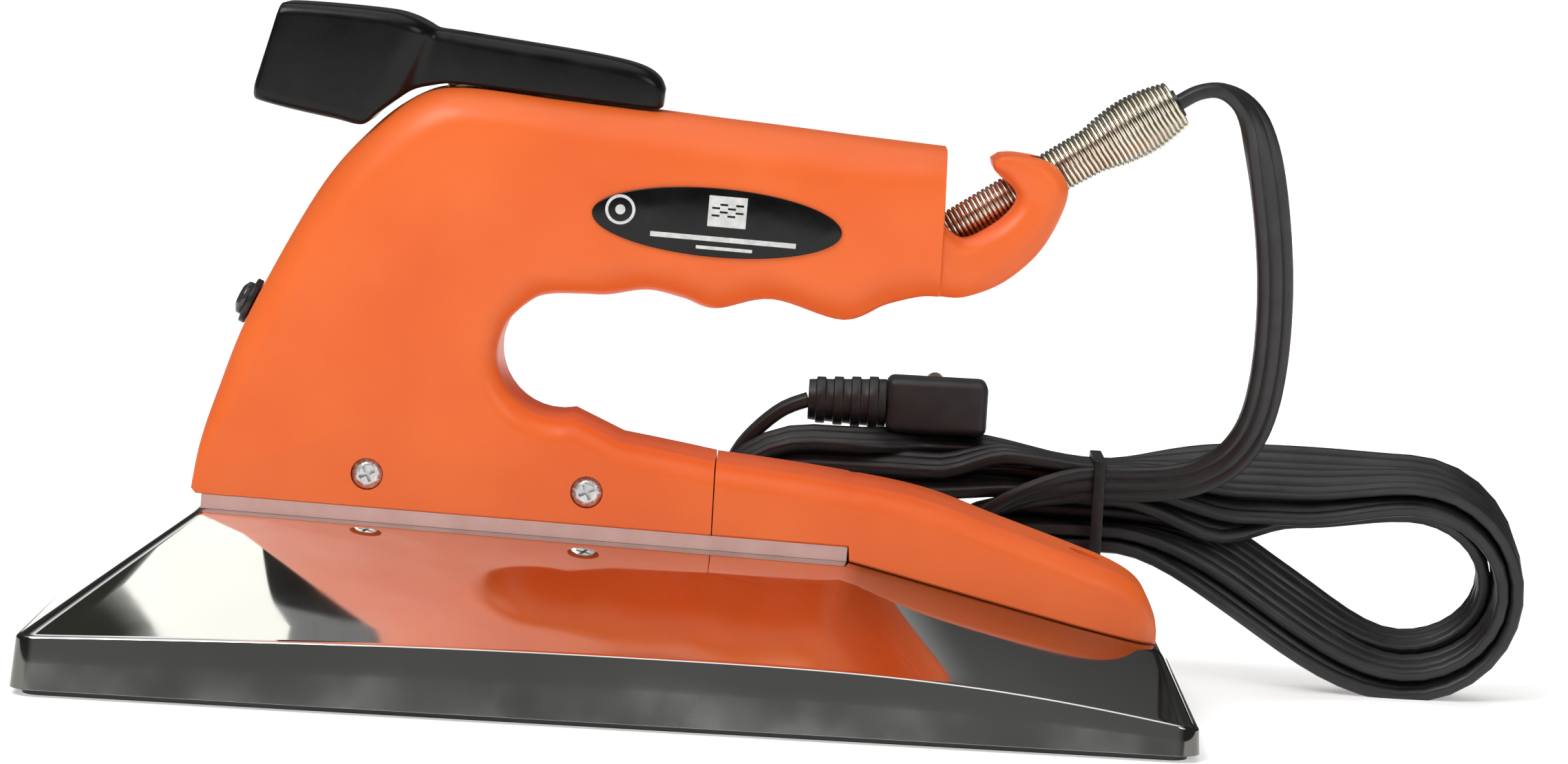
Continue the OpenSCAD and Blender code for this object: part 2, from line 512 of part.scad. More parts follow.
// ---------------------------------------------------------------- spring and inner cord
collar_d = 10.4;
channel_d = 13;
spring_in = 10;
function spring_r(z) = z < 42 ? 4.75 + z * 0.027
    : z < 54 ? 5.9 + 1.95 * sin(90 * (z - 42) / 12) : 5.9 + 1.95 * cos(90 * (z - 54) / 12);
spring_z = [0, 14, 28, 42, 45, 48, 51, 54, 57, 60, 63, 66];
core_r = 3.55;
module relief_spring() color([0.8, 0.78, 0.72]) on_spring() rotate_extrude() polygon(concat(
    [[4.75, -spring_in]], [for (z = spring_z) [spring_r(z), z * spring_l / 66]],
    [for (i = [len(spring_z) - 1:-1:0]) [spring_r(spring_z[i]) - spring_wire, spring_z[i] * spring_l / 66]],
    [[4.75 - spring_wire, -spring_in]]));
module spring_collar() color([0.15, 0.15, 0.15]) on_spring() difference() {
    translate([0, 0, -16]) cylinder(h = 16, d = collar_d - 0.1);
    translate([0, 0, -spring_in]) cylinder(h = 12, d = 9.6);
    translate([0, 0, -17]) cylinder(h = 12, r = core_r + 0.05);
}
module cord_core() color([0.1, 0.1, 0.1]) on_spring() translate([0, 0, -18])
    cylinder(h = 18 + spring_l, r = core_r);

// Flat or round tube swept along a route. w is the width, t the thickness, turn(s) the twist
// of its width away from the Y axis at each share s of the route.
function ring_at(p, dir, w, t, turn, n) =
    let (side0 = unit(cross(dir, cross([0, 1, 0], dir))), up0 = cross(dir, side0),
        side = side0 * cos(turn) + up0 * sin(turn), up = cross(dir, side))
    [for (j = [0:n - 1]) let (a = 360 * (j + 0.5) / n)
        p + side * (w / 2 * cos(a) / pow(pow(abs(cos(a)), 4) + pow(abs(sin(a)), 4), 0.25))
          + up * (t / 2 * sin(a) / pow(pow(abs(cos(a)), 4) + pow(abs(sin(a)), 4), 0.25))];
module tube(keys, steps, w, t, twist, n) {
    pts = path_of(keys, steps);
    m = len(pts);
    loft([for (i = [0:m - 1]) ring_at(pts[i], unit(pts[min(m - 1, i + 1)] - pts[max(0, i - 1)]),
        w, t, twist * sin(180 * i / (m - 1)), n)]);
}
inner_route = [[58.4, 0, 106.5], [50, 2, 107], [42, 6, 112], [34, 8, 122], [22, 8, 130], [4, 8, 131],
    [-18, 8, 130], [-38, 9, 125], [-54, 9, 112], [-62, 9, 94], [-62, 9, 78], [-50, 9, 66],
    [-34, 9, 60], [-18, 9, 58.2], [-8, 7, 57.2], [0, 3, 55], [8, 0.2, 52], [15, 0, 50.2],
    [22, 0, 49.2]];
module inner_cord() color([0.12, 0.12, 0.12]) tube(inner_route, 2, 6, 6, 0, 8);

clamp_bolt_x = [117];
clamp_bolt_y = 8;
plate_top = gasket_t + bracket_t;
module cord_clamp() color([0.2, 0.2, 0.2]) on_deck() difference() {
    translate([113, -11, plate_top]) cube([8, 22, 9.5]);
    for (x = clamp_bolt_x, s = [-1, 1]) translate([x, s * clamp_bolt_y, 0])
        cylinder(h = 20, d = 3 + 2 * fit);
    translate([105, -3.4, plate_top + 1.4]) cube([30, 6.8, 9]);
}
module clamp_bolts() color("silver") on_deck() for (x = clamp_bolt_x, s = [-1, 1])
    translate([x, s * clamp_bolt_y, 0]) {
        translate([0, 0, gasket_t + 0.2]) cylinder(h = bracket_t + 9.3, d = 3);
        translate([0, 0, plate_top + 9.5]) cylinder(h = 2, d = 5.4);
    }
block_x = 124;
block_size = [24, 26, 11];
block_pitch = 8.4;
module terminal_block() color("ivory") on_deck() translate([block_x, -block_size[1] / 2, plate_top])
    difference() {
        cube(block_size);
        for (i = [-1, 0, 1]) translate([0, block_size[1] / 2 + i * block_pitch, 0]) {
            for (x = [6, 18]) translate([x, 0, 5]) cylinder(h = 8, d = 3.6 + 2 * fit);
            translate([14, 0, 5]) rotate([0, 90, 0]) cylinder(h = 12, d = 3);
        }
    }
module terminal_screws() color("gold") on_deck()
    for (i = [-1, 0, 1], x = [6, 18]) translate([block_x + x, i * block_pitch, plate_top + 6.6])
        cylinder(h = 3.2, d = 3.6);
grommet_x = 11;
grommet_d = 16;
module deck_grommet() color([0.15, 0.15, 0.15]) on_tail() translate([grommet_x, 0, 0]) difference() {
    union() {
        translate([0, 0, 0.05]) cylinder(h = 2, d = grommet_d);
        translate([0, 0, -4]) cylinder(h = 5, d = grommet_d - 3.1);
    }
    translate([0, 0, -5]) cylinder(h = 9, d = 9.6);
}

// Wires from the block, down through the grommet and on to what they feed
wire_d = 2.6;
module wire(keys) tube(keys, 2, wire_d, wire_d, 0, 8);
module wire_live() color("saddlebrown") wire([[47.6, -8.2, 44], [52, -7, 44], [58, -4, 43.4],
    [63, -3, 41], [65.4, -3, 36], [64, -3, 29], [56, -6, 24], [40, -12, 21], [10, -16, 20],
    [-20, -16, 20], [-38, -12, 19], [-45.2, -9.4, 18.4]]);
module wire_neutral() color("steelblue") wire([[47.6, 0, 44], [54, 0, 44.6], [60, 0, 44.4],
    [66, 0, 42], [67.8, 0.4, 36], [66.4, 1.4, 30.5], [67.6, 5, 26], [72, 14, 22], [84, 26, 19],
    [98, 31, 16], [108, 32, 13.4]]);
module wire_link() color("darkred") wire([[-45.2, 9.4, 18.4], [-38, 14, 19.6], [-10, 17, 20],
    [30, 17, 20.4], [46, 6, 20.4], [62, -12, 20], [84, -26, 18.6], [98, -31, 16], [108, -32, 13.4]]);
module wire_earth() color("green") wire([[47.6, 8.2, 44], [52, 7, 44], [57, 4, 43.2], [62, 3.2, 41],
    [64.4, 2.8, 36], [63.4, 2.9, 30.5], [62, 7, 25.6], [61, 14, 22.6], [60, 21, 18], [59.4, 23, 14],
    [56, 27, 12.6]]);
earth_at = [50, 28];
module earth_screw() color("gold") translate([earth_at[0], earth_at[1], 0]) {
    translate([0, 0, sole_t - 4]) cylinder(h = 4, d = 4);
    translate([0, 0, sole_t]) cylinder(h = 1, d = 9);
    translate([0, 0, sole_t + 1]) cylinder(h = 2.4, d = 7);
}

// ---------------------------------------------------------------- free cord, hank and plug
hank_y = 71;
run_route = [[129.2, 0, 151.6], [133.6, 0, 154.2], [138.6, 0.4, 155], [143.6, 1.4, 152.8],
    [147.6, 3.4, 148], [150.6, 6.6, 140.6], [153.2, 11, 131], [155.6, 17, 119], [157.4, 24, 107],
    [158.4, 32, 95], [158.6, 39.6, 84], [157.8, 46.5, 74], [155.6, 51.6, 66], [151.2, 55.2, 59.4],
    [144.6, 57.8, 54.8], [137, 59.2, 52.4], [129, 59.8, 51.4], [121, 59.9, 51]];
module cord_run() color([0.1, 0.1, 0.1]) tube(run_route, 2, cord_w, cord_t, 60, 8);
loop_r = 30;
hank_x = [46, 200];
hank_top = 2 * loop_r;
waist_x = 119;
waist_low = 33;
waist_top = 56.2;
hank_half = 9.6;
// Outline of the hank: two round ends, a top that dips at the tie and an arched lower side
hank_outline = concat(
    [for (a = [90:-15:-90]) [hank_x[1] + loop_r * cos(a), loop_r + loop_r * sin(a)]],
    [[190, 1.5], [181, 5], [162, 16.5], [143, 28], [waist_x + 8, waist_low],
        [waist_x - 16, waist_low], [88, 28], [74, 16.5], [60, 5], [53, 1.5]],
    [for (a = [270:-15:90]) [hank_x[0] + loop_r * cos(a), loop_r + loop_r * sin(a)]],
    [[80, hank_top], [99, 58.5], [waist_x - 6, waist_top], [waist_x + 6, waist_top], [140, 58.5],
        [160, hank_top]]);
module cord_hank() color([0.12, 0.12, 0.12]) translate([0, hank_y + hank_half, 0])
    rotate([90, 0, 0]) linear_extrude(2 * hank_half) polygon(hank_outline);
tail_route = [[24.5, 75.7, 48], [27.6, 75.7, 54], [32.4, 75.7, 59.6], [38, 75.7, 64.2],
    [44, 75.7, 66.8]];
module cord_tail() color([0.1, 0.1, 0.1]) tube(tail_route, 2, cord_w, cord_t, 0, 8);
tie_t = 1.2;
tie_w = 3;
// Room inside the tie for the lead that passes in front of the hank
tie_front = 3.6;
module cord_tie() color([0.05, 0.05, 0.05]) difference() {
    translate([waist_x - tie_w / 2, hank_y - hank_half - tie_front - tie_t, waist_low - tie_t])
        cube([tie_w, 2 * (hank_half + tie_t) + tie_front, waist_top - waist_low + 2 * tie_t]);
    translate([waist_x - tie_w, hank_y - hank_half - tie_front, waist_low])
        cube([2 * tie_w, 2 * hank_half + tie_front, waist_top - waist_low]);
}
plug_at = [44, 75.7, 66.9];
module plug_relief() color([0.1, 0.1, 0.1]) translate(plug_at) rotate([0, 90, 0]) {
    cylinder(h = 20, d1 = 10.4, d2 = 12.6);
    for (i = [0:3]) translate([0, 0, 2 + 4.5 * i]) cylinder(h = 2.4, d = 12 + 0.5 * i);
}
plug_size = [26, 15, 14];
module plug_body() color([0.1, 0.1, 0.1]) translate([plug_at[0] + 20, plug_at[1] - 7, hank_top + 0.1])
    cube(plug_size);
module plug_blades() color([0.8, 0.7, 0.45])
    translate([plug_at[0] + 33, plug_at[1] - 7 + plug_size[1], plug_at[2]]) {
        for (s = [-1, 1]) translate([s * 6.35 - 0.75, 0, -3.2]) cube([1.5, 16, 6.4]);
        translate([0, 0, 4]) rotate([-90, 0, 0]) cylinder(h = 18, d = 4.8);
    }

sole_plate();
heating_element();
clamp_bars();
clamp_screws();
element_terminals();
insulation_board();
hood();
hood_screws();
deck_gasket();
mounting_bracket();
handle_near();
handle_far();
foot_screws();
grip_screw();
badge();
tail_cover();
tail_screw();
pilot_bezel();
pilot_lens();
pilot_bulb();
thermostat_base();
thermostat_blades();
thermostat_bridge();
thermostat_screws();
control_shaft();
shaft_bush();
control_lever();
lever_screw();
spring_collar();
relief_spring();
cord_core();
inner_cord();
cord_clamp();
clamp_bolts();
terminal_block();
terminal_screws();
deck_grommet();
wire_live();
wire_neutral();
wire_link();
wire_earth();
earth_screw();
cord_run();
cord_hank();
cord_tail();
cord_tie();
plug_relief();
plug_body();
plug_blades();
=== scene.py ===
import math

import bpy
from mathutils import Matrix, Vector


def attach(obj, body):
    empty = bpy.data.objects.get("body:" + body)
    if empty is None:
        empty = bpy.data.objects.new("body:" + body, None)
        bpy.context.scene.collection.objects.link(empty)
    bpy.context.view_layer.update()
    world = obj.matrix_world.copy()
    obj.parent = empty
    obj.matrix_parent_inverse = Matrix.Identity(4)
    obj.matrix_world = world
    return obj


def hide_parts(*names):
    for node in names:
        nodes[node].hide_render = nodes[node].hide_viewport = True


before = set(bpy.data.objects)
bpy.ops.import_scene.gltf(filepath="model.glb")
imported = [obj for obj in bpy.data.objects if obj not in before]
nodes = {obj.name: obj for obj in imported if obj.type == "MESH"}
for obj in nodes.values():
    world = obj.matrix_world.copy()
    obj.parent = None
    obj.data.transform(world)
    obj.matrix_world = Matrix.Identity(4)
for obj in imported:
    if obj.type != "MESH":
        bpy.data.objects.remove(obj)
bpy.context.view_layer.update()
MM = 0.001
ROD_SIDES = 48
scene = bpy.context.scene


# ------------------------------------------------------------------ camera
AIM = Vector((37.5, 0, 78.2)) * MM
DISTANCE = 1.32
ELEVATION = math.radians(5.5)
ROLL = math.radians(3.3)
camera_data = bpy.data.cameras.new("studio_camera")
camera_data.lens = 124.5
camera_data.sensor_width = 36
camera_data.clip_end = 200
camera = bpy.data.objects.new("studio_camera", camera_data)
scene.collection.objects.link(camera)
camera.location = AIM + DISTANCE * Vector((0, -math.cos(ELEVATION), math.sin(ELEVATION)))
camera.rotation_euler = (
    (AIM - camera.location).to_track_quat("-Z", "Y").to_matrix() @ Matrix.Rotation(ROLL, 3, "Z")
).to_euler()
scene.camera = camera


# ------------------------------------------------------------------ helpers
def mix(a, b, t):
    return a * (1 - t) + b * t


def degrees_cos(a):
    return math.cos(math.radians(a))


def degrees_sin(a):
    return math.sin(math.radians(a))


def smooth_rows(rows, steps):
    """A smooth curve through the rows, with that many steps from each row to the next."""
    last = len(rows) - 1
    out = []
    for i in range(last):
        a, b, c, d = rows[max(0, i - 1)], rows[i], rows[i + 1], rows[min(last, i + 2)]
        for j in range(steps):
            t = j / steps
            out.append([
                0.5 * (2 * q + (r - p) * t + (2 * p - 5 * q + 4 * r - s) * t * t
                       + (3 * q - p - 3 * r + s) * t ** 3)
                for p, q, r, s in zip(a, b, c, d)
            ])
    return out + [list(rows[last])]


def deselect():
    if bpy.context.object and bpy.context.object.mode != "OBJECT":
        bpy.ops.object.mode_set(mode="OBJECT")
    bpy.ops.object.select_all(action="DESELECT")


def pick(piece):
    deselect()
    piece.select_set(True)
    bpy.context.view_layer.objects.active = piece


def mesh_piece(name, points, faces):
    """A piece from points in millimetres."""
    data = bpy.data.meshes.new(name)
    data.from_pydata([Vector(p) * MM for p in points], [], faces)
    data.validate()
    piece = bpy.data.objects.new(name, data)
    scene.collection.objects.link(piece)
    return piece


def face_out(piece):
    """Merges doubles and turns every face outwards."""
    pick(piece)
    bpy.ops.object.mode_set(mode="EDIT")
    bpy.ops.mesh.select_all(action="SELECT")
    bpy.ops.mesh.remove_doubles(threshold=0.000002)
    bpy.ops.mesh.normals_make_consistent(inside=False)
    bpy.ops.object.mode_set(mode="OBJECT")


def apply_modifier(piece, kind, **settings):
    pick(piece)
    modifier = piece.modifiers.new(kind.title(), kind)
    for key, value in settings.items():
        setattr(modifier, key, value)
    bpy.ops.object.modifier_apply(modifier=modifier.name)


def smooth_by(piece, angle):
    pick(piece)
    bpy.ops.object.shade_smooth_by_angle(angle=math.radians(angle))


def bake_place(piece):
    pick(piece)
    bpy.ops.object.transform_apply(location=True, rotation=True, scale=True)


def loft(name, rings):
    """Closed skin over rings of equal length. Each end is closed by strips between the first
    half of its ring and the second half taken backwards."""
    count = len(rings[0])
    half = count // 2
    points = [p for ring in rings for p in ring]
    faces = []
    for i in range(len(rings) - 1):
        for j in range(count):
            k = (j + 1) % count
            faces.append((i * count + j, (i + 1) * count + j, (i + 1) * count + k, i * count + k))
    for start in (0, (len(rings) - 1) * count):
        for j in range(half - 1):
            faces.append((start + j, start + j + 1, start + count - 2 - j, start + count - 1 - j))
    piece = mesh_piece(name, points, faces)
    face_out(piece)
    return piece


def cut(piece, cutters, operation="DIFFERENCE"):
    for cutter in cutters:
        apply_modifier(piece, "BOOLEAN", object=cutter, operation=operation, solver="EXACT")
        bpy.data.objects.remove(cutter)


def rod(place, low, high, radius):
    """A round bar along the z of a frame, for cutting or joining."""
    deselect()
    bpy.ops.mesh.primitive_cylinder_add(
        vertices=ROD_SIDES, radius=radius * MM,
        depth=(high - low) * MM, location=(0, 0, (low + high) / 2 * MM))
    piece = bpy.context.object
    bake_place(piece)
    piece.data.transform(place)
    return piece


def block(centre, size):
    """A square-edged block, its centre and size in millimetres."""
    deselect()
    bpy.ops.mesh.primitive_cube_add(size=1, location=[c * MM for c in centre])
    piece = bpy.context.object
    piece.scale = [s * MM for s in size]
    bake_place(piece)
    return piece


def place_at(x, y, z, turn_x=0.0, turn_y=0.0):
    return (Matrix.Translation(Vector((x, y, z)) * MM)
            @ Matrix.Rotation(math.radians(turn_y), 4, "Y")
            @ Matrix.Rotation(math.radians(turn_x), 4, "X"))


def softened(name, node, bevel, angle=30, dissolve=4, segments=3):
    """A copy of a CAD node with its doubles merged, its flats joined and its edges eased."""
    piece = nodes[node].copy()
    piece.data = nodes[node].data.copy()
    piece.parent = None
    for key in list(piece.keys()):
        del piece[key]
    piece.name = name
    scene.collection.objects.link(piece)
    pick(piece)
    bpy.ops.object.mode_set(mode="EDIT")
    bpy.ops.mesh.select_all(action="SELECT")
    bpy.ops.mesh.remove_doubles(threshold=0.00001)
    bpy.ops.mesh.dissolve_limited(angle_limit=math.radians(dissolve))
    bpy.ops.object.mode_set(mode="OBJECT")
    if bevel:
        apply_modifier(piece, "BEVEL", width=bevel * MM, segments=segments, limit_method="ANGLE",
                       angle_limit=math.radians(angle), harden_normals=False)
    smooth_by(piece, angle)
    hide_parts(node)
    return piece


def finish(piece, material, body="iron", smooth=None):
    if smooth is not None:
        smooth_by(piece, smooth)
    piece.data.materials.clear()
    piece.data.materials.append(material)
    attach(piece, body)
    return piece


# ------------------------------------------------------------------ materials
def linear(code):
    """A colour written as sRGB hex, in linear light."""
    out = []
    for i in (0, 2, 4):
        c = int(code[i:i + 2], 16) / 255
        out.append(c / 12.92 if c <= 0.04045 else ((c + 0.055) / 1.055) ** 2.4)
    return (*out, 1.0)


def add_node(tree, kind, inputs=None, **settings):
    """Adds a node with its settings. An input that is a socket is linked, any other is set."""
    node = tree.nodes.new(kind)
    for key, value in settings.items():
        setattr(node, key, value)
    for key, value in (inputs or {}).items():
        if isinstance(value, bpy.types.NodeSocket):
            tree.links.new(value, node.inputs[key])
        else:
            node.inputs[key].default_value = value
    return node


def new_finish(name, colour, roughness, metallic=0.0, **sockets):
    """An empty finish: its node tree, its shader and its Object coordinates."""
    material = bpy.data.materials.new(name)
    material.use_nodes = True
    tree = material.node_tree
    shader = tree.nodes["Principled BSDF"]
    shader.inputs["Base Color"].default_value = linear(colour)
    shader.inputs["Roughness"].default_value = roughness
    shader.inputs["Metallic"].default_value = metallic
    for key, value in sockets.items():
        shader.inputs[key.replace("_", " ")].default_value = value
    where = add_node(tree, "ShaderNodeTexCoord").outputs["Object"]
    return material, tree, shader, where


def patch_tone(tree, shader, where, dark, light, size, detail=4.0):
    """Lets the colour wander between two tones in patches of that size in millimetres."""
    noise = add_node(tree, "ShaderNodeTexNoise",
                     {"Vector": where, "Scale": 1000 / size, "Detail": detail})
    ramp = add_node(tree, "ShaderNodeValToRGB", {"Fac": noise.outputs["Fac"]})
    ramp.color_ramp.elements[0].position = 0.36
    ramp.color_ramp.elements[1].position = 0.64
    ramp.color_ramp.elements[0].color = linear(dark)
    ramp.color_ramp.elements[1].color = linear(light)
    tree.links.new(ramp.outputs["Color"], shader.inputs["Base Color"])
    return ramp


def gloss_patches(tree, shader, where, low, high, size, stretch=None):
    """Lets the roughness wander between two values, as handling leaves it."""
    if stretch:
        where = add_node(tree, "ShaderNodeMapping",
                         {"Vector": where, "Scale": stretch}).outputs["Vector"]
    noise = add_node(tree, "ShaderNodeTexNoise", {"Vector": where, "Scale": 1000 / size,
                                                  "Detail": 3.0})
    spread = add_node(tree, "ShaderNodeMapRange", {"Value": noise.outputs["Fac"],
                                                   "From Min": 0.3, "From Max": 0.7,
                                                   "To Min": low, "To Max": high})
    tree.links.new(spread.outputs["Result"], shader.inputs["Roughness"])


def grain(tree, shader, where, size, depth, strength=1.0, stretch=None, detail=2.0):
    """A raised grain of that size and depth in millimetres."""
    if stretch:
        where = add_node(tree, "ShaderNodeMapping",
                         {"Vector": where, "Scale": stretch}).outputs["Vector"]
    noise = add_node(tree, "ShaderNodeTexNoise", {"Vector": where, "Scale": 1000 / size,
                                                  "Detail": detail})
    bump = add_node(tree, "ShaderNodeBump", {"Height": noise.outputs["Fac"],
                                             "Strength": strength, "Distance": depth * MM})
    tree.links.new(bump.outputs["Normal"], shader.inputs["Normal"])


# Glass-filled nylon, injection moulded: satin orange with a faint pebble and slight flow tone
orange_nylon, tree, shader, where = new_finish(
    "orange_moulded_nylon", "E8662C", 0.4, Specular_IOR_Level=0.35)
patch_tone(tree, shader, where, "E26127", "EA6B2E", 45, 3)
gloss_patches(tree, shader, where, 0.34, 0.46, 14)
grain(tree, shader, where, 0.9, 0.012, 0.5)

# Steel plated with bright chromium: a mirror with the long shallow waves of the pressing.
# The base colour is painted dark grey on the two end faces, a painted dark reflection
chrome, tree, shader, where = new_finish("polished_chrome_plate", "D6D6D4", 0.04, 1.0)
tone = patch_tone(tree, shader, where, "D2D2CF", "DCDCDA", 60, 2)
facing = add_node(tree, "ShaderNodeSeparateXYZ", {
    "Vector": add_node(tree, "ShaderNodeTexCoord").outputs["Normal"]})
endward = add_node(tree, "ShaderNodeMath", {0: facing.outputs["X"]}, operation="ABSOLUTE")
# Faces that look along x get the dark colour: a painted reflection, not a property of the plating
painted_end_reflection = add_node(tree, "ShaderNodeMapRange", {"Value": endward.outputs["Value"],
                                              "From Min": 0.08, "From Max": 0.3,
                                              "To Min": 0.0, "To Max": 0.9})
chrome_with_painted_ends = add_node(tree, "ShaderNodeMixRGB", {"Fac": painted_end_reflection.outputs["Result"],
                                             "Color1": tone.outputs["Color"],
                                             "Color2": linear("55544F")})
tree.links.new(chrome_with_painted_ends.outputs["Color"], shader.inputs["Base Color"])
gloss_patches(tree, shader, where, 0.025, 0.07, 22)
grain(tree, shader, where, 38, 0.05, 0.35)

# Silicone rubber sheet: dull pinkish grey with a powdery bloom
gasket_rubber, tree, shader, where = new_finish("pink_silicone_sheet", "C29A92", 0.62)
patch_tone(tree, shader, where, "BE958D", "C69F98", 9)
gloss_patches(tree, shader, where, 0.55, 0.7, 3)
grain(tree, shader, where, 0.6, 0.02, 0.5)

# Cast aluminium, machined flat: pale grey with long tool lines; the upright sides are painted dark,
# a painted shade of the gap under the hood
sole_metal, tree, shader, where = new_finish("machined_cast_aluminium", "C4C6C8", 0.3, 1.0)
tone = patch_tone(tree, shader, where, "BBBDBF", "CDCFD1", 8)
facing = add_node(tree, "ShaderNodeSeparateXYZ", {
    "Vector": add_node(tree, "ShaderNodeTexCoord").outputs["Normal"]})
level = add_node(tree, "ShaderNodeMath", {0: facing.outputs["Z"]}, operation="ABSOLUTE")
# Upright faces get the dark colour: painted shade, flat faces keep the metal's tone
flat_share = add_node(tree, "ShaderNodeMapRange", {"Value": level.outputs["Value"],
                                                 "From Min": 0.5, "From Max": 0.9})
sole_with_painted_side_shade = add_node(tree, "ShaderNodeMixRGB", {"Fac": flat_share.outputs["Result"],
                                           "Color1": linear("3E3D3B"),
                                           "Color2": tone.outputs["Color"]})
tree.links.new(sole_with_painted_side_shade.outputs["Color"], shader.inputs["Base Color"])
gloss_patches(tree, shader, where, 0.22, 0.4, 5, (0.06, 1, 1))
grain(tree, shader, where, 1.2, 0.01, 0.6, (0.03, 1, 1))

# Steel plated with zinc: pale neutral grey, satin and slightly clouded
zinc_steel, tree, shader, where = new_finish("zinc_plated_steel", "D2D3D2", 0.4, 1.0)
patch_tone(tree, shader, where, "C8C9C9", "DEDEDD", 1.6)
gloss_patches(tree, shader, where, 0.34, 0.48, 1.2)
grain(tree, shader, where, 0.8, 0.01, 0.4)

# Spring wire plated with nickel: bright with a warm cast and drawn lines
nickel_wire, tree, shader, where = new_finish("nickel_plated_spring_wire", "D9D2C2", 0.2, 1.0)
patch_tone(tree, shader, where, "CFC6B2", "E2DCCF", 7)
gloss_patches(tree, shader, where, 0.14, 0.28, 2)
grain(tree, shader, where, 0.5, 0.01, 0.4)

# Soft PVC jacket, extruded: charcoal black with a low waxy shine
cord_pvc, tree, shader, where = new_finish("black_pvc_jacket", "1D1C1D", 0.42)
patch_tone(tree, shader, where, "191819", "232223", 9)
gloss_patches(tree, shader, where, 0.36, 0.52, 5)
grain(tree, shader, where, 0.7, 0.015, 0.5)

# Moulded PVC of the plug: the same black, a little duller
plug_pvc, tree, shader, where = new_finish("black_moulded_pvc", "1B1A1B", 0.46)
patch_tone(tree, shader, where, "171617", "212021", 6)
gloss_patches(tree, shader, where, 0.4, 0.56, 4)
grain(tree, shader, where, 0.5, 0.02, 0.6)

# Thermoset moulding: near-black, semi-matt with worn shine on its edges
lever_resin, tree, shader, where = new_finish(
    "black_phenolic_moulding", "0C0B0B", 0.3, Specular_IOR_Level=0.25)
patch_tone(tree, shader, where, "090808", "100F0F", 14)
gloss_patches(tree, shader, where, 0.22, 0.36, 9)
grain(tree, shader, where, 1.4, 0.03, 0.5)

# Dark moulded ABS of the lamp's bezel
bezel_abs, tree, shader, where = new_finish("black_abs_bezel", "1A1A1C", 0.35)
patch_tone(tree, shader, where, "161618", "232326", 3)
gloss_patches(tree, shader, where, 0.28, 0.42, 1.5)
grain(tree, shader, where, 0.4, 0.01, 0.4)

# Smoky polycarbonate lens: dark and clear with a hard shine
lens_glass, tree, shader, where = new_finish("smoky_polycarbonate", "3E3B3C", 0.12,
                                             Transmission_Weight=0.35, IOR=1.58)
patch_tone(tree, shader, where, "353233", "4A4647", 2.5)
gloss_patches(tree, shader, where, 0.08, 0.18, 2)
grain(tree, shader, where, 0.8, 0.02, 0.5)

# Anodised aluminium nameplate printed black: flat and glossy
plate_black, tree, shader, where = new_finish(
    "black_printed_nameplate", "080708", 0.22, Specular_IOR_Level=0.3)
patch_tone(tree, shader, where, "060506", "0C0B0C", 11)
gloss_patches(tree, shader, where, 0.18, 0.3, 6)
grain(tree, shader, where, 0.5, 0.006, 0.4)

# Silver ink of the nameplate
plate_silver, tree, shader, where = new_finish("silver_printed_ink", "D6D6D4", 0.35, 0.4)
patch_tone(tree, shader, where, "C9C9C7", "E0E0DE", 2)
gloss_patches(tree, shader, where, 0.3, 0.42, 1)
grain(tree, shader, where, 0.3, 0.005, 0.4)

# Cold-rolled steel with a zinc coat, for the brackets and bars inside
sheet_steel, tree, shader, where = new_finish("galvanised_sheet_steel", "B9BCBF", 0.4, 1.0)
patch_tone(tree, shader, where, "A9ACB0", "C6C9CB", 9, 1)
gloss_patches(tree, shader, where, 0.32, 0.5, 7)
grain(tree, shader, where, 4, 0.02, 0.4)

# Steel sheath of the heating element: dark grey oxide
element_steel, tree, shader, where = new_finish("oxidised_element_sheath", "4C4945", 0.5, 0.8)
patch_tone(tree, shader, where, "3F3C39", "5B5650", 5)
gloss_patches(tree, shader, where, 0.42, 0.6, 4)
grain(tree, shader, where, 0.6, 0.02, 0.5)

# Glazed steatite: off-white ceramic with a faint speckle
ceramic, tree, shader, where = new_finish("glazed_steatite", "E6DFCF", 0.3)
patch_tone(tree, shader, where, "DDD5C3", "EFE9DC", 2)
gloss_patches(tree, shader, where, 0.22, 0.38, 3)
grain(tree, shader, where, 0.5, 0.02, 0.4)

# Pressed mica board: buff flakes
mica_board, tree, shader, where = new_finish("pressed_mica_board", "B49A6E", 0.48)
patch_tone(tree, shader, where, "9E8459", "C9B184", 3, 1)
gloss_patches(tree, shader, where, 0.3, 0.6, 2.5)
grain(tree, shader, where, 2.2, 0.03, 0.5, None, 0)

# Brass, turned: yellow with a soft tarnish
brass, tree, shader, where = new_finish("turned_brass", "C9A357", 0.28, 1.0)
patch_tone(tree, shader, where, "B98F45", "D8B66C", 3)
gloss_patches(tree, shader, where, 0.2, 0.36, 1.6)
grain(tree, shader, where, 0.5, 0.01, 0.4)

# Spring bronze of the switch blades
bronze, tree, shader, where = new_finish("spring_bronze_strip", "B8773F", 0.3, 1.0)
patch_tone(tree, shader, where, "A76733", "C98A50", 4)
gloss_patches(tree, shader, where, 0.22, 0.4, 2)
grain(tree, shader, where, 0.6, 0.01, 0.4)

# Polyamide of the terminal block: ivory and slightly waxy
block_ivory, tree, shader, where = new_finish("ivory_polyamide", "E3DCC6", 0.4)
patch_tone(tree, shader, where, "D9D1B8", "EAE4D2", 4)
gloss_patches(tree, shader, where, 0.34, 0.5, 3)
grain(tree, shader, where, 0.7, 0.02, 0.4)

# Black EPDM rubber of the grommet and the clamp
dark_rubber, tree, shader, where = new_finish("black_epdm_rubber", "1E1D1C", 0.66)
patch_tone(tree, shader, where, "191817", "282624", 3)
gloss_patches(tree, shader, where, 0.58, 0.75, 2)
grain(tree, shader, where, 0.5, 0.03, 0.5)

# Soft plastic tie, dull black
tie_plastic, tree, shader, where = new_finish("black_soft_tie", "141314", 0.5)
patch_tone(tree, shader, where, "100F10", "1C1B1C", 2)
gloss_patches(tree, shader, where, 0.42, 0.6, 1.5)
grain(tree, shader, where, 0.6, 0.03, 0.5, (0.2, 1, 1))

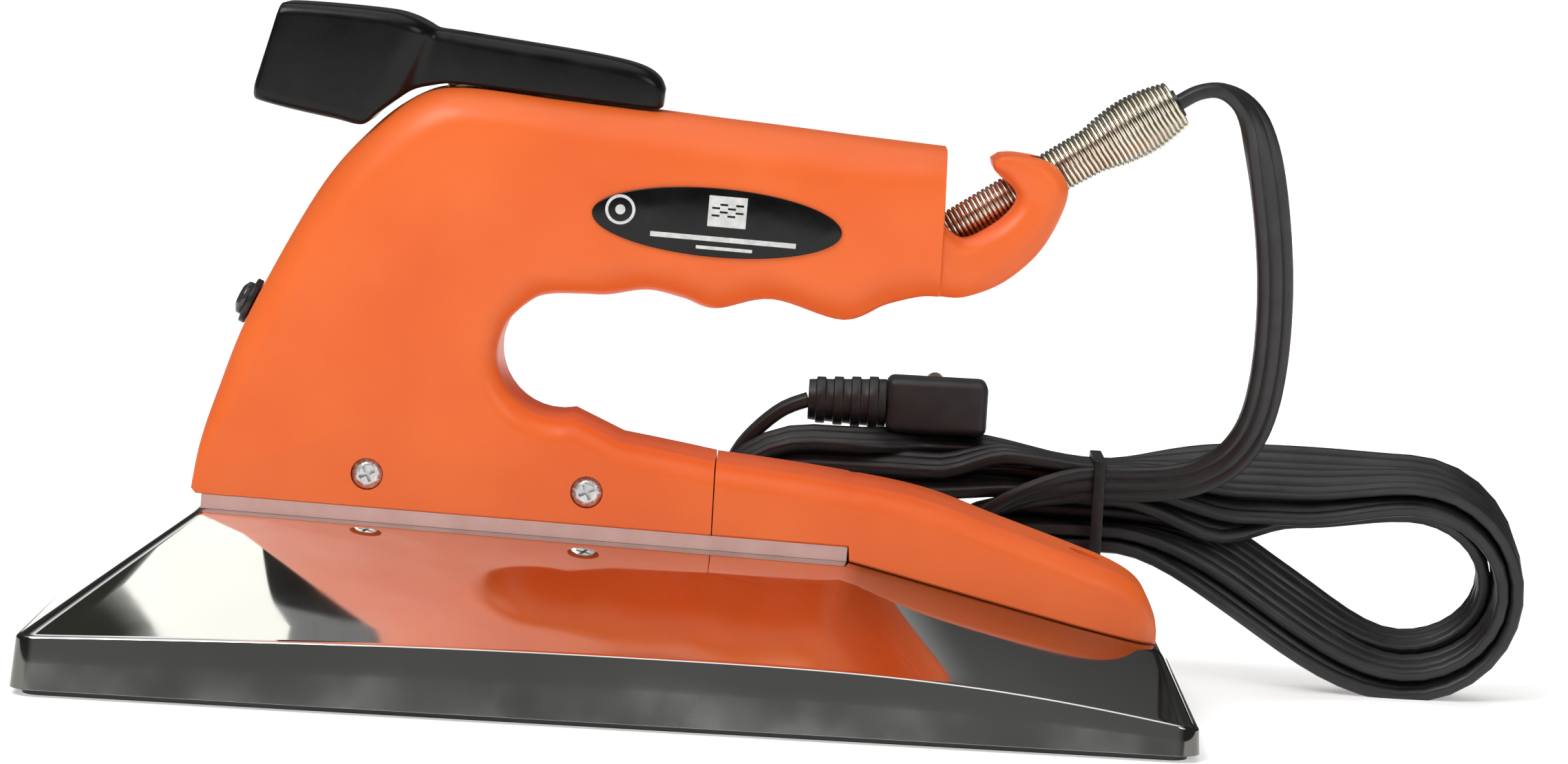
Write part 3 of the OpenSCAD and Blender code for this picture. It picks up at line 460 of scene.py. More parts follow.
# Neon lamp glass with an amber glow
lamp_glass, tree, shader, where = new_finish("amber_neon_glass", "D8702C", 0.12,
                                             Transmission_Weight=0.5, IOR=1.5)
patch_tone(tree, shader, where, "C8601F", "E6873E", 2)
gloss_patches(tree, shader, where, 0.08, 0.2, 1)
grain(tree, shader, where, 1, 0.01, 0.4)


def wire_jacket(name, dark, light):
    """Thin silicone jacket of an inner wire, matt with a soft sheen."""
    material, tree, shader, where = new_finish(name, light, 0.45)
    patch_tone(tree, shader, where, dark, light, 4)
    gloss_patches(tree, shader, where, 0.38, 0.55, 2)
    grain(tree, shader, where, 0.6, 0.02, 0.4)
    return material


wire_brown = wire_jacket("brown_silicone_jacket", "4E2D1C", "613A26")
wire_blue = wire_jacket("blue_silicone_jacket", "1F4A86", "2D5C9C")
wire_red = wire_jacket("red_silicone_jacket", "84201D", "9A2D28")
wire_green = wire_jacket("green_silicone_jacket", "2F6B34", "3F7F43")


# ------------------------------------------------------------------ free cord
# The lead leaves the spring, falls behind the handle, and is wound in a hank that stands on
# its long edge beside the hood.
CORD_W = 9.0
CORD_T = 3.6
RUN_ROUTE = [
    (129.2, 0, 151.6), (133.6, 0, 154.2), (138.6, 0.4, 155), (143.6, 1.4, 152.8),
    (147.6, 3.4, 148), (150.6, 6.6, 140.6), (153.2, 11, 131), (155.6, 17, 119), (157.4, 24, 107),
    (158.4, 32, 95), (158.6, 39.6, 84), (157.8, 46.5, 74), (155.6, 51.6, 66), (151.2, 55.2, 59.4),
    (144.6, 57.8, 54.8), (137, 59.2, 52.4), (129, 59.8, 51.4), (121, 59.9, 51)]
# The lead goes on behind the tie and sinks into the hank's near lane
LEAD_ROUTE = [(121, 59.9, 51), (114, 59.9, 50.4), (106, 60, 48.4), (97, 61.4, 45), (88, 63.6, 39.6),
              (79, 65.6, 31)]
TAIL_ROUTE = [(24.5, 75.7, 48), (27.6, 75.7, 54), (32.4, 75.7, 59.6), (38, 75.7, 64.2),
              (44, 75.7, 66.8)]
NEAR_LANE, FAR_LANE = 66.3, 75.7
LEFT_X, RIGHT_X = 46.0, 200.0
WAIST_X = 119.0
LAYER = 3.8
FAN = 2.9
NEAR_DROP = 5.0
LOOP_STEPS = 15
LAST_TURN = 140


def ease(t):
    t = min(1, max(0, t))
    return t * t * (3 - 2 * t)


def fan_share(x):
    """How far the layers are spread: none at the tie, most in the middle of the long lobe."""
    if x < WAIST_X:
        return 0.55 * ease((108 - x) / 34)
    return ease((x - 123) / 34) * (1 - 0.45 * ease((x - 170) / 30))


def arm_depth(x, layer, far):
    """How deep a strand lies under the hank's outline."""
    drop = (1 - far) * NEAR_DROP * fan_share(x) if x > WAIST_X else 0
    return layer * (LAYER + FAN * fan_share(x)) + drop


def top_z(x, layer, far):
    return 58.1 - 4 * math.exp(-((x - WAIST_X) / 22) ** 2) - arm_depth(x, layer, far)


def low_z(x, layer, far):
    """Height of the lower arm, which arches up to the tie."""
    arch = ease((x - LEFT_X) / 56) if x < WAIST_X else ease((RIGHT_X - x) / 76)
    return 1.9 + 32.8 * arch + arm_depth(x, layer, 1)


def end_loop(x, layer, far, direction, until=180):
    """Points round one end of the hank: up on the left, down on the right."""
    high, low = top_z(x, layer, far), low_z(x, layer, far)
    wide, tall, middle = 28.1 - LAYER * layer, (high - low) / 2, (high + low) / 2
    out = []
    for step in range(LOOP_STEPS + 1):
        turn = until * step / LOOP_STEPS
        out.append((x + direction * wide * degrees_sin(turn),
                    middle + direction * tall * degrees_cos(turn)))
    return out


def wind_hank():
    """The route through the hank, and the strand's turn out of the flat at each point."""
    # Each pass: its layer and lane, then where on the top arm it changes to the next one
    passes = [(2, 0, 146, 172), (2, 1, 122, 144), (1, 1, 98, 121),
              (1, 0, 78, 97), (0, 0, 56, 77), (0, 1, 0, 0)]
    route, turns = [], []

    def add(x, far, z, turn):
        route.append((x, mix(NEAR_LANE, FAR_LANE, far), z))
        turns.append(turn)

    def tilt(x):
        return 42 * fan_share(x) ** 0.7

    x = 71.0
    for number, (layer, far, change_from, change_to) in enumerate(passes):
        while x > LEFT_X + 1:
            add(x, far, low_z(x, layer, far), -tilt(x))
            x -= 5.0
        last = number == len(passes) - 1
        until = LAST_TURN if last else 180
        for step, (px, pz) in enumerate(end_loop(LEFT_X, layer, far, -1, until)):
            add(px, far, pz, -tilt(LEFT_X) * degrees_cos(until * step / LOOP_STEPS))
        if last:
            break
        next_layer, next_far = passes[number + 1][:2]
        x = LEFT_X + 5
        while x < RIGHT_X - 1:
            share = ease((x - change_from) / (change_to - change_from))
            add(x, mix(far, next_far, share),
                top_z(x, mix(layer, next_layer, share), mix(far, next_far, share)), tilt(x))
            x += 4.0
        for step, (px, pz) in enumerate(end_loop(RIGHT_X, next_layer, next_far, 1)):
            add(px, next_far, pz, tilt(RIGHT_X) * degrees_cos(180 * step / LOOP_STEPS))
        x = RIGHT_X - 5
    return route, turns


LEAD_TURN = 84


def run_turn(share):
    """The lead turns its flat side to the near side as it falls, and keeps it to the tie."""
    return LEAD_TURN * ease((share - 0.08) / 0.3)


run_line = smooth_rows(RUN_ROUTE, 4)
lead_line = smooth_rows(LEAD_ROUTE, 2)
hank_line, hank_turns = wind_hank()
tail_line = smooth_rows(TAIL_ROUTE, 3)
cord_line = run_line[:-1] + lead_line[:-1] + hank_line + tail_line
cord_turns = ([run_turn(i / (len(run_line) - 1)) for i in range(len(run_line) - 1)]
              + [LEAD_TURN * (1 - ease(i / (len(lead_line) - 1)))
                 for i in range(len(lead_line) - 1)]
              + hank_turns + [0] * len(tail_line))


def cord_section(sides):
    """Half widths of the flat jacket: three ridges with two shallow grooves a face."""
    out = []
    for j in range(sides):
        a = 2 * math.pi * (j + 0.5) / sides
        c, s = math.cos(a), math.sin(a)
        k = (abs(c) ** 4 + abs(s) ** 4) ** 0.25
        u, v = CORD_W / 2 * c / k, CORD_T / 2 * s / k
        groove = math.exp(-((abs(u) - 1.5) / 0.42) ** 2) * 0.55
        out.append((u, v - math.copysign(groove, v) if abs(v) > 1 else v))
    return out


def cord_rings(line, turns, section):
    """The section carried along the route, rolled by its turn at each point."""
    rings = []
    last = len(line) - 1
    for i, point in enumerate(line):
        ahead = (Vector(line[min(last, i + 1)]) - Vector(line[max(0, i - 1)])).normalized()
        side = ahead.cross(Vector((0, 1, 0)).cross(ahead)).normalized()
        up = ahead.cross(side)
        turn = math.radians(turns[i])
        across = side * math.cos(turn) + up * math.sin(turn)
        thick = ahead.cross(across)
        rings.append([Vector(point) + across * u + thick * v for u, v in section])
    return rings


cord = loft("mains_cord", cord_rings(cord_line, cord_turns, cord_section(44)))
finish(cord, cord_pvc, smooth=50)
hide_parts("cord_run", "cord_hank", "cord_tail")

# Tie: a narrow strap drawn tight round the waist of the hank
TIE_CENTRE = (WAIST_X, 69.2, 44.6)
TIE_OPENING = (23.0, 23.4)
TIE_WIDTH, TIE_T = 3.0, 1.0
tie = block(TIE_CENTRE, (TIE_WIDTH, TIE_OPENING[0] + 2 * TIE_T, TIE_OPENING[1] + 2 * TIE_T))
tie.name = "cord_tie_strap"
apply_modifier(tie, "BEVEL", width=0.35 * MM, segments=3, limit_method="ANGLE",
               angle_limit=math.radians(40))
cut(tie, [block(TIE_CENTRE, (2 * TIE_WIDTH, *TIE_OPENING))])
finish(tie, tie_plastic, smooth=40)
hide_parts("cord_tie")

plug_body = softened("plug_body_moulding", "plug_body", 2.2, segments=5)
finish(plug_body, plug_pvc)
plug_relief = softened("plug_relief_boot", "plug_relief", 0.5)
finish(plug_relief, plug_pvc)
plug_blades = softened("plug_blade_set", "plug_blades", 0.3)
finish(plug_blades, brass)


# ------------------------------------------------------------------ hood
HALF_L, HALF_W = 140.0, 60.0
NOSE, BEND, TAIL = (-101.0, 41.5), (55.0, 37.5), (132.0, 20.0)
DECK_TILT = math.degrees(math.atan((NOSE[1] - BEND[1]) / (BEND[0] - NOSE[0])))
TAIL_TILT = math.degrees(math.atan((BEND[1] - TAIL[1]) / (TAIL[0] - BEND[0])))
GASKET_T = 3.5
LIP_FRONT, LIP_MID, LIP_REAR = 14.0, 17.3, 8.0
LEDGE = 2.0
DECK_HALF = 20.5
HOOD_T = 1.2
SKIRT_Z = 1.5
HOOD_CORNER, DECK_CORNER = 6.0, 2.5
DRAFT = 0.085
SWELL = 0.1


def deck_line(x):
    """Height of the deck's front flat, carried on past the bend."""
    return NOSE[1] - (x - NOSE[0]) * math.tan(math.radians(DECK_TILT))


def deck_z(x):
    """Height of the deck, which falls away behind the bend."""
    if x < BEND[0]:
        return deck_line(x)
    return BEND[1] - (x - BEND[0]) * math.tan(math.radians(TAIL_TILT))


def foot_z(x):
    """Height of the handle's foot, on top of the gasket."""
    return deck_line(x) + GASKET_T / degrees_cos(DECK_TILT)


def lip_z(x):
    """Height of the skirt's upper edge, highest beside the handle."""
    if x < 0:
        return LIP_FRONT + (LIP_MID - LIP_FRONT) * degrees_cos(90 * min(1, -x / HALF_L))
    return LIP_REAR + (LIP_MID - LIP_REAR) * degrees_cos(90 * min(1, (x / HALF_L) ** 1.6))


SIDE_STEPS = [i / 58 for i in range(1, 58)]
CORNER_STEPS = [90 * i / 8 for i in range(9)]


def half_outline(x0, x1, half, radius):
    """Near half of a rectangle with round corners, from its front to its rear."""
    return ([(x0 + radius * (1 - degrees_cos(a)), -half + radius * (1 - degrees_sin(a)))
             for a in CORNER_STEPS]
            + [(mix(x0 + radius, x1 - radius, s), -half) for s in SIDE_STEPS]
            + [(x1 - radius * (1 - degrees_sin(a)), -half + radius * (1 - degrees_cos(a)))
               for a in CORNER_STEPS])


def skirt_outline(inset):
    return half_outline(-HALF_L + inset, HALF_L - inset, HALF_W - inset,
                        max(1, HOOD_CORNER - inset))


def hood_level(share, wall):
    """One level of the slope: share 0 at the ledge, 1 at the deck's edge."""
    low = skirt_outline(LEDGE + wall)
    high = half_outline(NOSE[0] + wall / 3, TAIL[0] - wall / 3, DECK_HALF - wall / 2,
                        DECK_CORNER)
    swell = SWELL * degrees_sin(180 * share)
    return [(mix(a[0], b[0], share), mix(a[1], b[1], share),
             mix(lip_z(a[0]) - 0.6 * wall, deck_z(b[0]) - wall, share) + swell)
            for a, b in zip(low, high)]


def round_corner(before, corner, after, reach, steps):
    """Points of a soft corner that leaves the two edges at most reach from the corner."""
    before, corner, after = Vector(before), Vector(corner), Vector(after)
    a = corner + (before - corner).normalized() * min(reach, (before - corner).length * 0.49)
    b = corner + (after - corner).normalized() * min(reach, (after - corner).length * 0.49)
    return [tuple(a.lerp(corner, t).lerp(corner.lerp(b, t), t))
            for t in [i / steps for i in range(steps + 1)]]


def hood_outside():
    """Rings of the hood's outer skin, from the skirt's foot to inside the deck's edge."""
    foot = [(x, y, SKIRT_Z) for x, y in skirt_outline(0.04)]
    flare = [(x, y, SKIRT_Z + 0.04) for x, y in skirt_outline(0)]
    middle, shoulder = [], []
    for base, ledge_point in zip(skirt_outline(0), hood_level(0, 0)):
        toward = Vector((ledge_point[0] - base[0], ledge_point[1] - base[1], 0)).normalized()
        for share, ring in ((0.5, middle), (1, shoulder)):
            rise = (lip_z(base[0]) - SKIRT_Z - 0.3) * share
            inset = rise * DRAFT
            ring.append((base[0] + toward.x * inset, base[1] + toward.y * inset, SKIRT_Z + rise))
    ledge = hood_level(0, 0)
    slopes = [hood_level(share, 0) for share in (0.12, 0.24, 0.36, 0.48, 0.6, 0.72, 0.84)]
    edge = hood_level(1, 0)
    inner = [(x, y, deck_z(x)) for x, y in
             half_outline(NOSE[0] + 4, TAIL[0] - 4, DECK_HALF - 4, 0.6)]
    stations = []
    for i in range(len(foot)):
        line = [foot[i], flare[i], middle[i]]
        line += round_corner(middle[i], shoulder[i], ledge[i], 0.7, 4)
        line += round_corner(shoulder[i], ledge[i], slopes[0][i], 0.7, 3)
        line += [level[i] for level in slopes]
        line += round_corner(slopes[-1][i], edge[i], inner[i], 2.6, 6)
        line.append(inner[i])
        stations.append(line)
    return [[line[k] for line in stations] for k in range(len(stations[0]))]


def hood_inside():
    """Rings of the hood's inner skin, from under the deck down to the skirt's foot."""
    rings = [hood_level(share, HOOD_T) for share in (0.96, 0.7, 0.45, 0.2, 0)]
    for share, wall in ((0.85, 1.15), (0.4, 1.12), (0, 1.0)):
        ring = []
        for x, y in skirt_outline(0):
            rise = (lip_z(x) - SKIRT_Z) * share
            ring.append((x, y, SKIRT_Z + rise, rise * DRAFT + wall))
        inner = []
        for x, y, z, inset in ring:
            inner.append((x * (HALF_L - inset) / HALF_L, y * (HALF_W - inset) / HALF_W, z))
        rings.append(inner)
    return rings


def both_sides(half):
    """A whole ring from its near half."""
    return list(half) + [(x, -y, z) for x, y, z in reversed(half)]


ON_DECK = place_at(NOSE[0], 0, NOSE[1], turn_y=DECK_TILT)
ON_TAIL = place_at(BEND[0], 0, BEND[1], turn_y=TAIL_TILT)
ON_LEVER = place_at(-43.4, 0, 145.7, turn_y=4.1)
ON_SPRING = place_at(73.6, 0, 116.1, turn_y=90 - 32.5)
ON_PILOT = place_at(-91.7, 0, 90, turn_y=-66.5)
# Along the deck: hood screws. Along the tail: the grommet and the tail screw
SCREW_X = (21, 100)
GROMMET_X, TAIL_SCREW_X = 11, 56
SCREW_BORE = 2.05


def along(place, x):
    """The same frame, moved along its own x."""
    return place @ Matrix.Translation(Vector((x, 0, 0)) * MM)


hood = loft("hood_shell", [both_sides(r) for r in hood_inside() + hood_outside()])
cut(hood, [rod(along(ON_DECK, x), -8, 8, 2.55) for x in SCREW_X]
    + [rod(ON_LEVER, -120, -90, 5.5), rod(along(ON_TAIL, GROMMET_X), -8, 8, 6.5),
       rod(along(ON_TAIL, TAIL_SCREW_X), -8, 8, SCREW_BORE)])
finish(hood, chrome, smooth=32)
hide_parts("hood")


# ------------------------------------------------------------------ handle
HALF_HANDLE = 19.0
GAP = (-16.7, 82.6)
GAP_R = 15.0
WALL = 2.6


def gap_front(a):
    """A point on the round front of the hand gap."""
    return GAP[0] + GAP_R * degrees_cos(a), GAP[1] + GAP_R * degrees_sin(a)


def row(outer, inner, outer_r, inner_r, half):
    """A section: its outer and inner points, the radius at each and its half width."""
    return [*outer, *inner, outer_r, inner_r, half]


def foot_row(x, inner):
    return row((x, foot_z(x)), inner, 0.6, 6, HALF_HANDLE)


FOOT_ROWS = [foot_row(22, (22, 59.3)), foot_row(14, (14, 60.6)), foot_row(6, (6, 61.8)),
             foot_row(0, (-1, 62.8)), foot_row(-8, gap_front(284)), foot_row(-15, gap_front(273)),
             foot_row(-22, gap_front(262)), foot_row(-33, gap_front(252.5)),
             foot_row(-44, gap_front(243)), foot_row(-55, gap_front(234)),
             foot_row(-66, gap_front(225)), foot_row(-77, gap_front(216)),
             foot_row(-88, gap_front(207)), foot_row(-95, gap_front(199.5)),
             foot_row(-102.4, gap_front(192))]
W = HALF_HANDLE
LIMB_KEYS = [
    row((-103.6, foot_z(-103.6) + 1.2), gap_front(190), 1.2, 6, W),
    row((-102.2, 57), gap_front(180), 4, 6, W), row((-98.8, 69.6), gap_front(167), 7, 6, W),
    row((-92, 89.3), gap_front(147), 9, 7, W), row((-77.3, 118.8), gap_front(122), 11, 8, W),
    row((-65.6, 134), gap_front(104), 12, 9, W), row((-54.6, 143), (-12.5, 97.7), 12, 9, W),
    row((-43.4, 145.7), (-6, 97.8), 12, 10, W), row((-20, 144.1), (3.4, 99.5), 12, 10, W),
    row((4, 142.4), (12, 98), 12, 10, W), row((20, 141.2), (20, 95.9), 12, 10, W),
    row((33.4, 140.3), (33.4, 98.9), 12, 10, W), row((50.7, 139), (50.7, 94.9), 12, 10, W),
    row((62, 138.2), (61, 99.2), 11, 10, W), row((69, 137.7), (68.8, 101.6), 10, 9, W),
    row((73.6, 137.4), (73.4, 102), 10, 8, W)]
HOOK_KEYS = [
    row((73.8, 119.2), (73.8, 102), 3, 8, W - 1), row((78.6, 116.4), (80, 102.3), 4, 6, W - 2.5),
    row((84.8, 119.4), (89, 106.2), 5, 6, W - 4), row((89.2, 123.4), (97, 113.6), 5, 6, W - 5),
    row((90.8, 127), (101.8, 122.6), 4.5, 5, W - 6), row((89.4, 129.6), (103.2, 130), 4.5, 5, W - 6),
    row((86.8, 131.6), (99, 135.4), 4.5, 5, W - 6), row((85, 133.4), (91, 136.9), 2.4, 2.6, W - 6),
    row((84.6, 135.2), (86.6, 136.6), 0.7, 0.7, W - 6.4)]
LIMB_STEPS, HOOK_STEPS = 8, 8
ARC = [90 * i / 9 for i in range(10)]
PARTING = 0.35


def half_arc(low, high, outer_r, inner_r, half, parting=0.0):
    """Half of a section, from the middle plane out and back."""
    head = [(parting, low)] if parting else []
    end = [(parting, high)] if parting else []
    return ([(0, low + parting)] + head
            + [(half - outer_r + outer_r * degrees_sin(a), low + outer_r - outer_r * degrees_cos(a))
               for a in ARC]
            + [(half - inner_r + inner_r * degrees_cos(a), high - inner_r + inner_r * degrees_sin(a))
               for a in ARC]
            + end + [(0, high - parting)])


def limb_ring(k, hollow, side):
    """One closed section of a handle half, with or without its hollow."""
    outer, inner = Vector((k[0], k[1])), Vector((k[2], k[3]))
    depth = (inner - outer).length
    across = (inner - outer) / depth
    out = half_arc(0, depth, k[4], k[5], k[6], PARTING if depth > 4 else 0.05)
    if hollow:
        back = half_arc(WALL, depth - WALL, max(0.4, k[4] - WALL), max(0.4, k[5] - WALL),
                        k[6] - WALL, 0.05)
    else:
        back = [(0, depth * (0.06 + 0.88 * j / (len(out) - 1))) for j in range(len(out))]
    return [(outer.x + across.x * d, -side * y, outer.y + across.y * d)
            for y, d in out + back[::-1]]


limb_rows = smooth_rows(LIMB_KEYS, LIMB_STEPS)
hook_rows = smooth_rows(HOOK_KEYS, HOOK_STEPS)
handle_rows = FOOT_ROWS + limb_rows + hook_rows
SOLID_LIMB_ROWS = 12
HOLLOW_ROWS = len(FOOT_ROWS) + len(limb_rows) - SOLID_LIMB_ROWS
FOOT_SCREWS = ((-61.4, 52), (-8.4, 50.6))
GRIP_SCREW = (19.3, 117.3)


def at_side(x, z, side):
    """Frame that points out through the near side (1) or the far side (-1)."""
    return place_at(x, 0, z, turn_x=90 * side)


def handle_half(name, side):
    """A moulded half with its screw bosses, recesses and bores."""
    piece = loft(name, [limb_ring(k, i < HOLLOW_ROWS, side) for i, k in enumerate(handle_rows)])
    cut(piece, [rod(at_side(x, z, side), 14.05, 16.6, 6.15) for x, z in FOOT_SCREWS], "UNION")
    cutters = []
    for x, z in FOOT_SCREWS:
        cutters.append(rod(at_side(x, z, side), 0, 20, SCREW_BORE))
        cutters.append(rod(at_side(x, z, side), 16, 20, 3.9))
    cutters.append(rod(ON_LEVER, -14, 6, 4.5))
    cutters.append(rod(ON_PILOT, -12, 8, 4.05))
    cutters.append(rod(ON_SPRING, -18, 2, 5.2))
    cutters.append(rod(ON_SPRING, 0, 62, 6.5))
    cut(piece, cutters)
    face_out(piece)
    finish(piece, orange_nylon, smooth=32)
    return piece


handle_near = handle_half("handle_half_near", 1)
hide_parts("handle_near")
handle_far = handle_half("handle_half_far", -1)
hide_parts("handle_far")

# ------------------------------------------------------------------ tail cover
COVER_KEYS = [
    [22.3, 59.2, W, 6], [48, 56.8, W, 6], [72.6, 53.2, W, 6], [92, 47.1, W, 6],
    [111.2, 41, W - 0.6, 6], [121, 37.6, W - 2.4, 5.5], [127, 33.8, W - 5, 4.6],
    [130.2, 28.1, W - 8.5, 3], [131.2, 24, W - 10.5, 1.2]]
STEP_X = 55.3
COVER_LIFT = 0.15
HOLLOW_TO_X = 100


def cover_low(x):
    """Height of the cover's lower edge: on the gasket's level, then close over the deck."""
    return foot_z(x) if x < STEP_X else deck_z(x) + COVER_LIFT


def cover_half(k, low, wall):
    top, half, radius = k[1] - wall, k[2] - wall, max(0.4, k[3] - wall)
    edge = 0.5 if wall == 0 else 0.05
    return ([(half - edge, low), (half, low + edge), (half, mix(low, top - radius, 0.5))]
            + [(half - radius + radius * degrees_cos(a), top - radius + radius * degrees_sin(a))
               for a in ARC] + [(0, top)])


def cover_ring(k, low, hollow):
    def full(wall):
        half = cover_half(k, low, wall)
        return half + [(-y, z) for y, z in half[-2::-1]]
    out = full(0)
    if hollow:
        back = full(WALL)
    else:
        count = len(out)
        back = [(mix(k[2] - 1.4, 1.4 - k[2], j / (count - 1)), low + 0.05
                 + 0.3 * degrees_sin(180 * j / (count - 1))) for j in range(count)]
    return [(k[0], y, z) for y, z in out + back[::-1]]


def cover_row(x):
    """The row at x, on the straight from the second key to the third."""
    a, b = COVER_KEYS[1:3]
    return [mix(p, q, (x - a[0]) / (b[0] - a[0])) for p, q in zip(a, b)]


cover_rings = []
for k in smooth_rows(COVER_KEYS, 8):
    if k[0] > STEP_X and cover_rings and cover_rings[-1][0][0] < STEP_X:
        cover_rings.append(cover_ring(cover_row(STEP_X), foot_z(STEP_X), True))
        cover_rings.append(cover_ring(cover_row(STEP_X + 0.3), cover_low(STEP_X + 0.3), True))
    if not STEP_X - 0.2 < k[0] < STEP_X + 0.6:
        cover_rings.append(cover_ring(k, cover_low(k[0]), k[0] < HOLLOW_TO_X))
tail_cover = loft("tail_cover_shell", cover_rings)
cut(tail_cover, [rod(along(ON_TAIL, TAIL_SCREW_X), -1, 39, SCREW_BORE),
                 rod(along(ON_TAIL, TAIL_SCREW_X), 9, 42, 4)])
finish(tail_cover, orange_nylon, smooth=32)
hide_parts("tail_cover")

# ------------------------------------------------------------------ spring
WIRE_R = 0.58
SPRING_ROOT_R, SPRING_NECK_R, SPRING_BULGE = 4.75, 5.9, 1.95
NECK_Z, BULGE_Z = 42, 54


def spring_radius(z):
    """Outer radius: a slow widening, then a bulge that closes again at the mouth."""
    if z < NECK_Z:
        return SPRING_ROOT_R + z * 0.027
    if z < BULGE_Z:
        return SPRING_NECK_R + SPRING_BULGE * degrees_sin(90 * (z - NECK_Z) / 12)
    return SPRING_NECK_R + SPRING_BULGE * degrees_cos(90 * (z - BULGE_Z) / 12)


def wind_spring():
    pitch, sides, per_turn = 1.2, 8, 26
    low, high = -9.4, 65.4
    count = int((high - low) / pitch * per_turn)
    centres = []
    for i in range(count + 1):
        z = low + (high - low) * i / count
        a = 2 * math.pi * i / per_turn
        r = (spring_radius(z) if z > 0 else SPRING_ROOT_R) - WIRE_R
        centres.append(Vector((r * math.cos(a), r * math.sin(a), z)))
    rings = []
    for i, centre in enumerate(centres):
        ahead = (centres[min(count, i + 1)] - centres[max(0, i - 1)]).normalized()
        out = Vector((centre.x, centre.y, 0)).normalized()
        out = (out - ahead * out.dot(ahead)).normalized()
        up = ahead.cross(out)
        rings.append([centre + WIRE_R * (out * degrees_cos(360 * j / sides)
                                         + up * degrees_sin(360 * j / sides))
                      for j in range(sides)])
    return rings


spring = loft("relief_spring_coil", wind_spring())
spring.data.transform(ON_SPRING)
finish(spring, nickel_wire, smooth=60)
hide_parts("relief_spring")

# ------------------------------------------------------------------ badge
BADGE = place_at(GRIP_SCREW[0], -HALF_HANDLE, GRIP_SCREW[1], turn_y=1.8) @ Matrix.Rotation(
    math.radians(90), 4, "X")
BADGE_L, BADGE_H, BADGE_T = 60.0, 16.5, 0.7
INK_T = 0.06
RING_AT = (-23.3, 1.2)


def ellipse_plate(name, length, height, low, high, bevel):
    deselect()
    bpy.ops.mesh.primitive_cylinder_add(vertices=96, radius=0.5 * height * MM,
                                        depth=(high - low) * MM,
                                        location=(0, 0, (low + high) / 2 * MM))
    piece = bpy.context.object
    piece.name = name
    piece.scale.x = length / height
    bake_place(piece)
    if bevel:
        apply_modifier(piece, "BEVEL", width=bevel * MM, segments=3, limit_method="ANGLE",
                       angle_limit=math.radians(50))
    return piece


badge = ellipse_plate("badge_plate", BADGE_L, BADGE_H, 0, BADGE_T, 0.25)
badge.data.transform(BADGE)
finish(badge, plate_black, smooth=40)
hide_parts("badge")


def badge_bar(x, y, length, height, high=INK_T):
    return block((x, y, BADGE_T + high / 2), (length, height, high))


def join_pieces(name, parts):
    deselect()
    for part in parts:
        part.select_set(True)
    bpy.context.view_layer.objects.active = parts[0]
    bpy.ops.object.join()
    piece = bpy.context.object
    piece.name = name
    return piece


# Generic marks: a ring with a dot, a small square with two waves cut in it, two plain bars
def badge_ring(x, y, outer, inner):
    piece = ellipse_plate("badge_ring", 2 * outer, 2 * outer, BADGE_T, BADGE_T + INK_T, 0)
    cut(piece, [rod(Matrix.Identity(4), 0, 2, inner)])
    piece.data.transform(Matrix.Translation(Vector((x, y, 0)) * MM))
    return piece


square = badge_bar(2.3, 2.8, 9.2, 7.4)
for wave_y in (2.2, 4.0):
    for number in range(4):
        dash = badge_bar(-0.5 + 1.9 * number, wave_y + (0.45 if number % 2 else -0.45), 1.9, 0.5,
                         0.3)
        cut(square, [dash])
dot = ellipse_plate("badge_dot", 2.4, 2.4, BADGE_T, BADGE_T + INK_T, 0)
dot.data.transform(Matrix.Translation(Vector((*RING_AT, 0)) * MM))
marks = join_pieces("badge_marks", [
    square, badge_ring(*RING_AT, 3.6, 2.9), dot, badge_bar(1.8, -3.9, 35, 1.2),
    badge_bar(2.2, -6.1, 13.5, 0.8)])
marks.data.transform(BADGE)
finish(marks, plate_silver)

# ------------------------------------------------------------------ lever and eased CAD pieces
# The lever: a blocky head that leans over the nose, and a low tapered arm behind it.
# Rows in the lever's own frame: upper point, lower point, upper and lower radius, half width
LEVER_KEYS = [
    row((-46.5, 12.6), (-50.2, -6.8), 3, 3, 11), row((-46, 14.2), (-49.8, -8.6), 3.2, 3, 12.5),
    row((-44.4, 14.9), (-48, -9.4), 3.2, 3, 13), row((-36, 15.5), (-40, -10.5), 3.2, 3, 13),
    row((-26, 15.9), (-30, -11.4), 3.4, 3, 13), row((-18.6, 15.9), (-23.2, -11.9), 3.6, 2.2, 13),
    row((-14, 15.1), (-20, -8.9), 3.6, 2, 12.8), row((-10.8, 14), (-16, -5.2), 3.4, 2, 11.8),
    row((-8.4, 13.1), (-12.2, -2.2), 3, 1.6, 9.8), row((-5, 13), (-7.6, -0.5), 3.2, 1.4, 9.6),
    row((-1, 12.9), (-2, 0.6), 3.4, 1, 9.5), row((12, 12.5), (12, 0.6), 3.6, 1, 9.5),
    row((26, 12), (26, 0.6), 3.6, 1, 9.5), row((37, 11.2), (37, 0.6), 3.6, 1, 9.5),
    row((43, 10), (43.4, 0.6), 3.4, 1, 9.1), row((46.4, 8), (46.8, 0.7), 2.8, 1, 8),
    row((48, 5.4), (48, 1.4), 1.6, 1, 6.2)]


def lever_ring(k):
    upper, lower = Vector((k[0], k[1])), Vector((k[2], k[3]))
    depth = (lower - upper).length
    down = (lower - upper) / depth
    half = half_arc(0, depth, k[4], k[5], k[6])
    near = [(upper.x + down.x * d, -y, upper.y + down.y * d) for y, d in half]
    return near + [(x, -y, z) for x, y, z in near[::-1]]


lever = loft("lever_moulding", [lever_ring(k) for k in smooth_rows(LEVER_KEYS, 5)])
